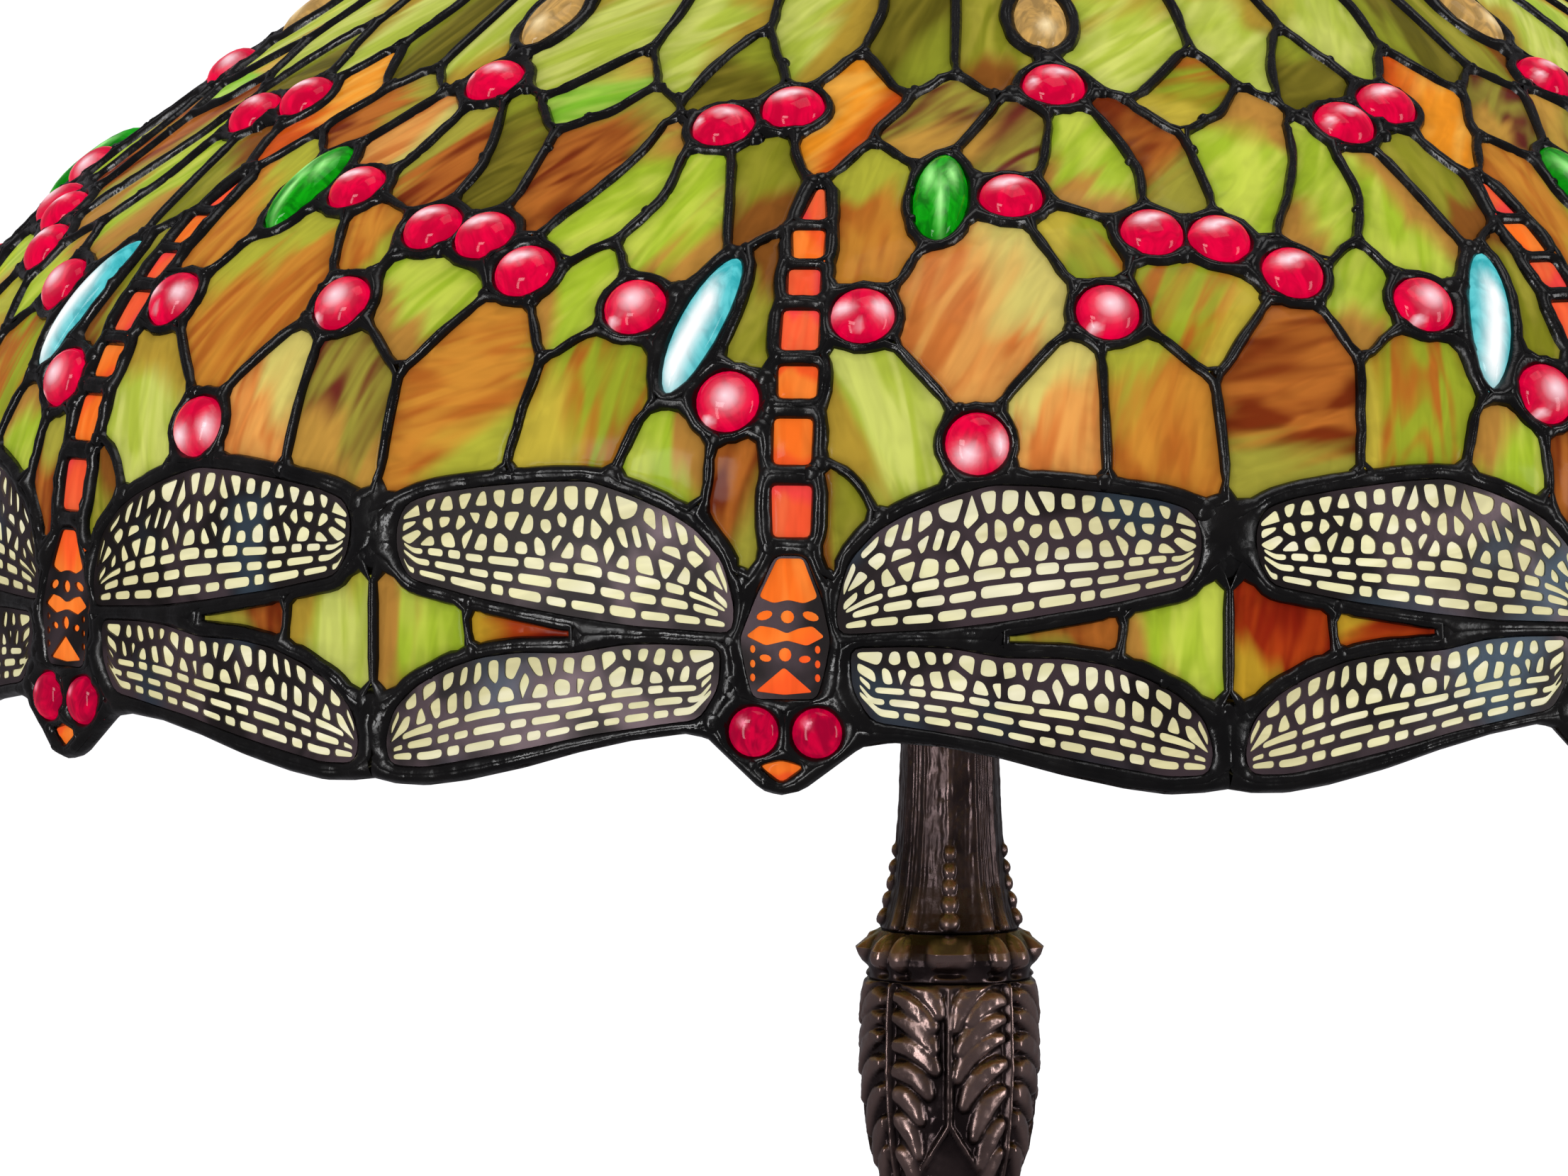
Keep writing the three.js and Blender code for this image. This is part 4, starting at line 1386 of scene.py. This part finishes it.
def stem_relief(bearing, height):
    """Reeds that fork into the foot, with a fine line between them."""
    reed = np.abs(np.cos(np.radians(bearing) * 6)) ** 0.7
    low = np.clip((110 - height) / 45, 0, 1)
    rough = 0.12 * cloud(bearing, height, 2.5, 17)
    return (0.9 + 1.0 * low) * (reed - 0.55) + 0.5 * hill(folded(bearing), 5) + rough


FOOT = [
    (115, 2.3), (115.5, 8), (111, 13), (96, 18), (80, 22), (62, 29), (46, 39), (34, 50), (29, 62),
]


def foot_relief(bearing, height):
    """Long lily leaves that lie on the foot, each with a middle rib."""
    a = (bearing + 15) % 30 - 15
    on_top = np.clip((height - 12) / 6, 0, 1) * np.clip((62 - height) / 14, 0, 1)
    leaf = np.clip(1 - (np.abs(a) / (13.5 - 0.10 * (height - 12))) ** 3, 0, 1)
    rib = hill(a, 1.2)
    veins = 0.5 + 0.5 * np.cos((height - np.abs(a) * 1.3) * 1.4)
    rough = 0.2 * cloud(bearing * 2, height, 3.5, 23) * np.clip(height - 9, 0, 1)
    return on_top * (1.3 * leaf + 0.9 * rib + 0.35 * veins * leaf - 0.6) + rough


# The cap and the finial: radius and height above their undersides.
CAP_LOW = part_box("vented_cap")[0].z / MM
CAP = [
    (53, 2.9), (53, 0.1), (58.5, 0), (60, 1.5), (57.6, 4.5), (54, 8), (47.6, 12.4), (40, 16), (30, 19.4),
    (20, 22), (11, 23),
]
FINIAL_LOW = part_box("finial")[0].z / MM
FINIAL = [
    (10, 0), (11.5, 2.5), (7.4, 5.5), (7, 8), (9.4, 10.5), (11.4, 13.6), (12.4, 18), (11.8, 22.4),
    (10, 26.4), (7.6, 30.4), (5, 34), (3.4, 37), (2.2, 39.2), (0.4, 40),
]


def raised(outline, low):
    return [(r, low + z) for r, z in outline]


def cap_relief(bearing, height):
    """A rope of beads round the edge and shallow petals up to the finial."""
    up = height - CAP_LOW
    rope = 0.7 * dome(((bearing % 5 - 2.5) / 2.4) ** 2 + ((up - 2.2) / 2.2) ** 2)
    petals = np.abs(np.sin(np.radians(bearing) * 8)) ** 0.6 - 0.75
    on_top = np.clip((up - 6) / 3, 0, 1) * np.clip((22 - up) / 3, 0, 1)
    return rope + 1.1 * petals * on_top + 0.12 * cloud(bearing, height, 2.5, 41) * on_top


def finial_relief(bearing, height):
    """Scales of a closed bud, in rows that swap sides."""
    up = height - FINIAL_LOW
    row = (up - 9) / 4.2
    inside_bud = np.clip((up - 9) / 2, 0, 1) * np.clip((38 - up) / 4, 0, 1)
    side = np.where(np.floor(row) % 2 == 0, 0.0, 22.5)
    across = ((bearing + side + 22.5) % 45 - 22.5) / 22.5
    scale = dome(across**2 * 0.9) * (1 - 0.75 * (row % 1))
    return inside_bud * (0.9 * scale - 0.4)


lathe("neck_casting", "neck", NECK, neck_relief)
lathe("collar_casting", "column_collar", COLLAR, collar_relief, step=0.4)
lathe("leaf_column_casting", "leaf_column", LEAVES, leaf_relief, step=0.6)
lathe("knop_casting", "lower_knop", KNOP, knop_relief, step=0.7)
lathe("stem_casting", "lower_stem", STEM, stem_relief, step=1.5)
lathe("foot_casting", "base_foot", FOOT, foot_relief, around=480, step=1.5, bore=30)
lathe(
    "cap_spinning", "vented_cap", raised(CAP, CAP_LOW), cap_relief, around=360, bore=5.4, body="cap",
)
lathe(
    "finial_casting", "finial", raised(FINIAL, FINIAL_LOW), finial_relief,
    around=120, step=0.6, bore=0.02, body="finial",
)


# ---- pull chains ----------------------------------------------------------------------------------
BEAD_RADIUS = 1.2
BEAD_PITCH = 3.1
LINK_RADIUS = 0.5


def ball(middle, radius, rings=6, around=10):
    """A small round bead."""
    x, y, z = middle
    points = [(x, y, z - radius)]
    for k in range(1, rings):
        tilt = math.pi * k / rings
        r = radius * math.sin(tilt)
        for i in range(around):
            a = 2 * math.pi * i / around
            points.append((x + r * math.cos(a), y + r * math.sin(a), z - radius * math.cos(tilt)))
    points.append((x, y, z + radius))
    last = len(points) - 1
    faces = flipped(fan(1, around, 0)) + bands(rings - 1, around, start=1)
    return points, faces + fan(last - around, around, last)


def bead_chain(number):
    """Beads and links from the bottom to the top of the plain chain they take the place of."""
    low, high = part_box(f"pull_chain_{number}")
    middle = (low + high) / 2 / MM
    bottom, top = low.z / MM, high.z / MM
    length = top - bottom - 2 * BEAD_RADIUS
    count = round(length / BEAD_PITCH)
    pile = Pile()
    for i in range(count + 1):
        up = bottom + BEAD_RADIUS + length * i / count
        pile.add(*ball((middle.x, middle.y, up), BEAD_RADIUS))
        if i < count:
            pile.add(*ball((middle.x, middle.y, up + BEAD_PITCH / 2), LINK_RADIUS, 4, 6))
    made = pile.build(f"bead_chain_{number}", 0, BRASS, f"chain_{number}", "brass")
    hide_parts(f"pull_chain_{number}")


for number in (1, 2, 3):
    bead_chain(number)


# ---- materials of the CAD nodes that stay ---------------------------------------------------------
SLOT_MATERIALS = {
    "bronze": BRONZE, "brass": BRASS, "steel": STEEL, "iron": IRON, "felt": FELT, "rubber": RUBBER,
    "insulator": FIBRE, "opal_glass": OPAL, "mosaic_glass": ART_GLASS,
}
for entry in frame["record"]["subparts"]:
    node = frame["nodes"][entry["node"]]
    for place in node.material_slots:
        place.material = SLOT_MATERIALS[entry["material_slot"]]


# ---- floor and light ------------------------------------------------------------------------------
FLOOR_HALF = 90
FLOOR_GAP = 0.0002  # metres under the felt
WHITE = (1, 1, 1, 1)
AMBIENT = (0.19, 0.185, 0.2, 1)


def floor():
    """A white floor that the camera sees and the lamp doesn't mirror."""
    paint = Paint("floor", Roughness=0.9, Emission_Color=WHITE, Emission_Strength=0.93)
    cloud = paint.noise(paint.place(), 0.6, 2)
    paint.link(paint.mix(cloud, grey(0.80), grey(0.82)), "Base Color")
    mesh = bpy.data.meshes.new("floor")
    corners = [(x * FLOOR_HALF, y * FLOOR_HALF, 0) for x, y in ((-1, -1), (1, -1), (1, 1), (-1, 1))]
    mesh.from_pydata(corners, [], [(0, 1, 2, 3)])
    mesh.materials.append(paint.material)
    made = bpy.data.objects.new("floor", mesh)
    made.location.z = cad_box[0].z - FLOOR_GAP
    made.visible_glossy = False
    made.visible_diffuse = False
    bpy.context.scene.collection.objects.link(made)


LIT = Vector((0, 0, 0.4))  # the softboxes point here


def softbox(name, place, size, watts):
    data = bpy.data.lights.new(name, "AREA")
    data.shape = "RECTANGLE"
    data.size, data.size_y = size
    data.energy = watts
    lamp = bpy.data.objects.new(name, data)
    lamp.location = place
    lamp.rotation_euler = (LIT - Vector(place)).to_track_quat("-Z", "Y").to_euler()
    lamp.visible_camera = False
    bpy.context.scene.collection.objects.link(lamp)


def daylight():
    """White behind everything for the camera, and dim even light for the lamp."""
    world = bpy.data.worlds.new("studio")
    world.use_nodes = True
    tree = world.node_tree
    back = tree.nodes["Background"]
    seen = tree.nodes.new("ShaderNodeLightPath").outputs["Is Camera Ray"]
    mixer = tree.nodes.new("ShaderNodeMix")
    mixer.data_type = "RGBA"
    mixer.inputs[6].default_value = AMBIENT
    mixer.inputs[7].default_value = WHITE
    tree.links.new(seen, mixer.inputs[0])
    tree.links.new(mixer.outputs[2], back.inputs["Color"])
    bpy.context.scene.world = world


floor()
daylight()
softbox("key", (-1.3, -2.1, 1.5), (0.7, 0.5), 20)
softbox("left_strip", (-1.5, -2.0, 0.35), (0.3, 1.5), 21)
softbox("right_strip", (2.1, -0.9, 0.5), (0.4, 1.4), 18)
softbox("top", (0.3, -0.4, 2.6), (1.2, 1.2), 10)
bpy.context.scene.view_settings.view_transform = "Standard"
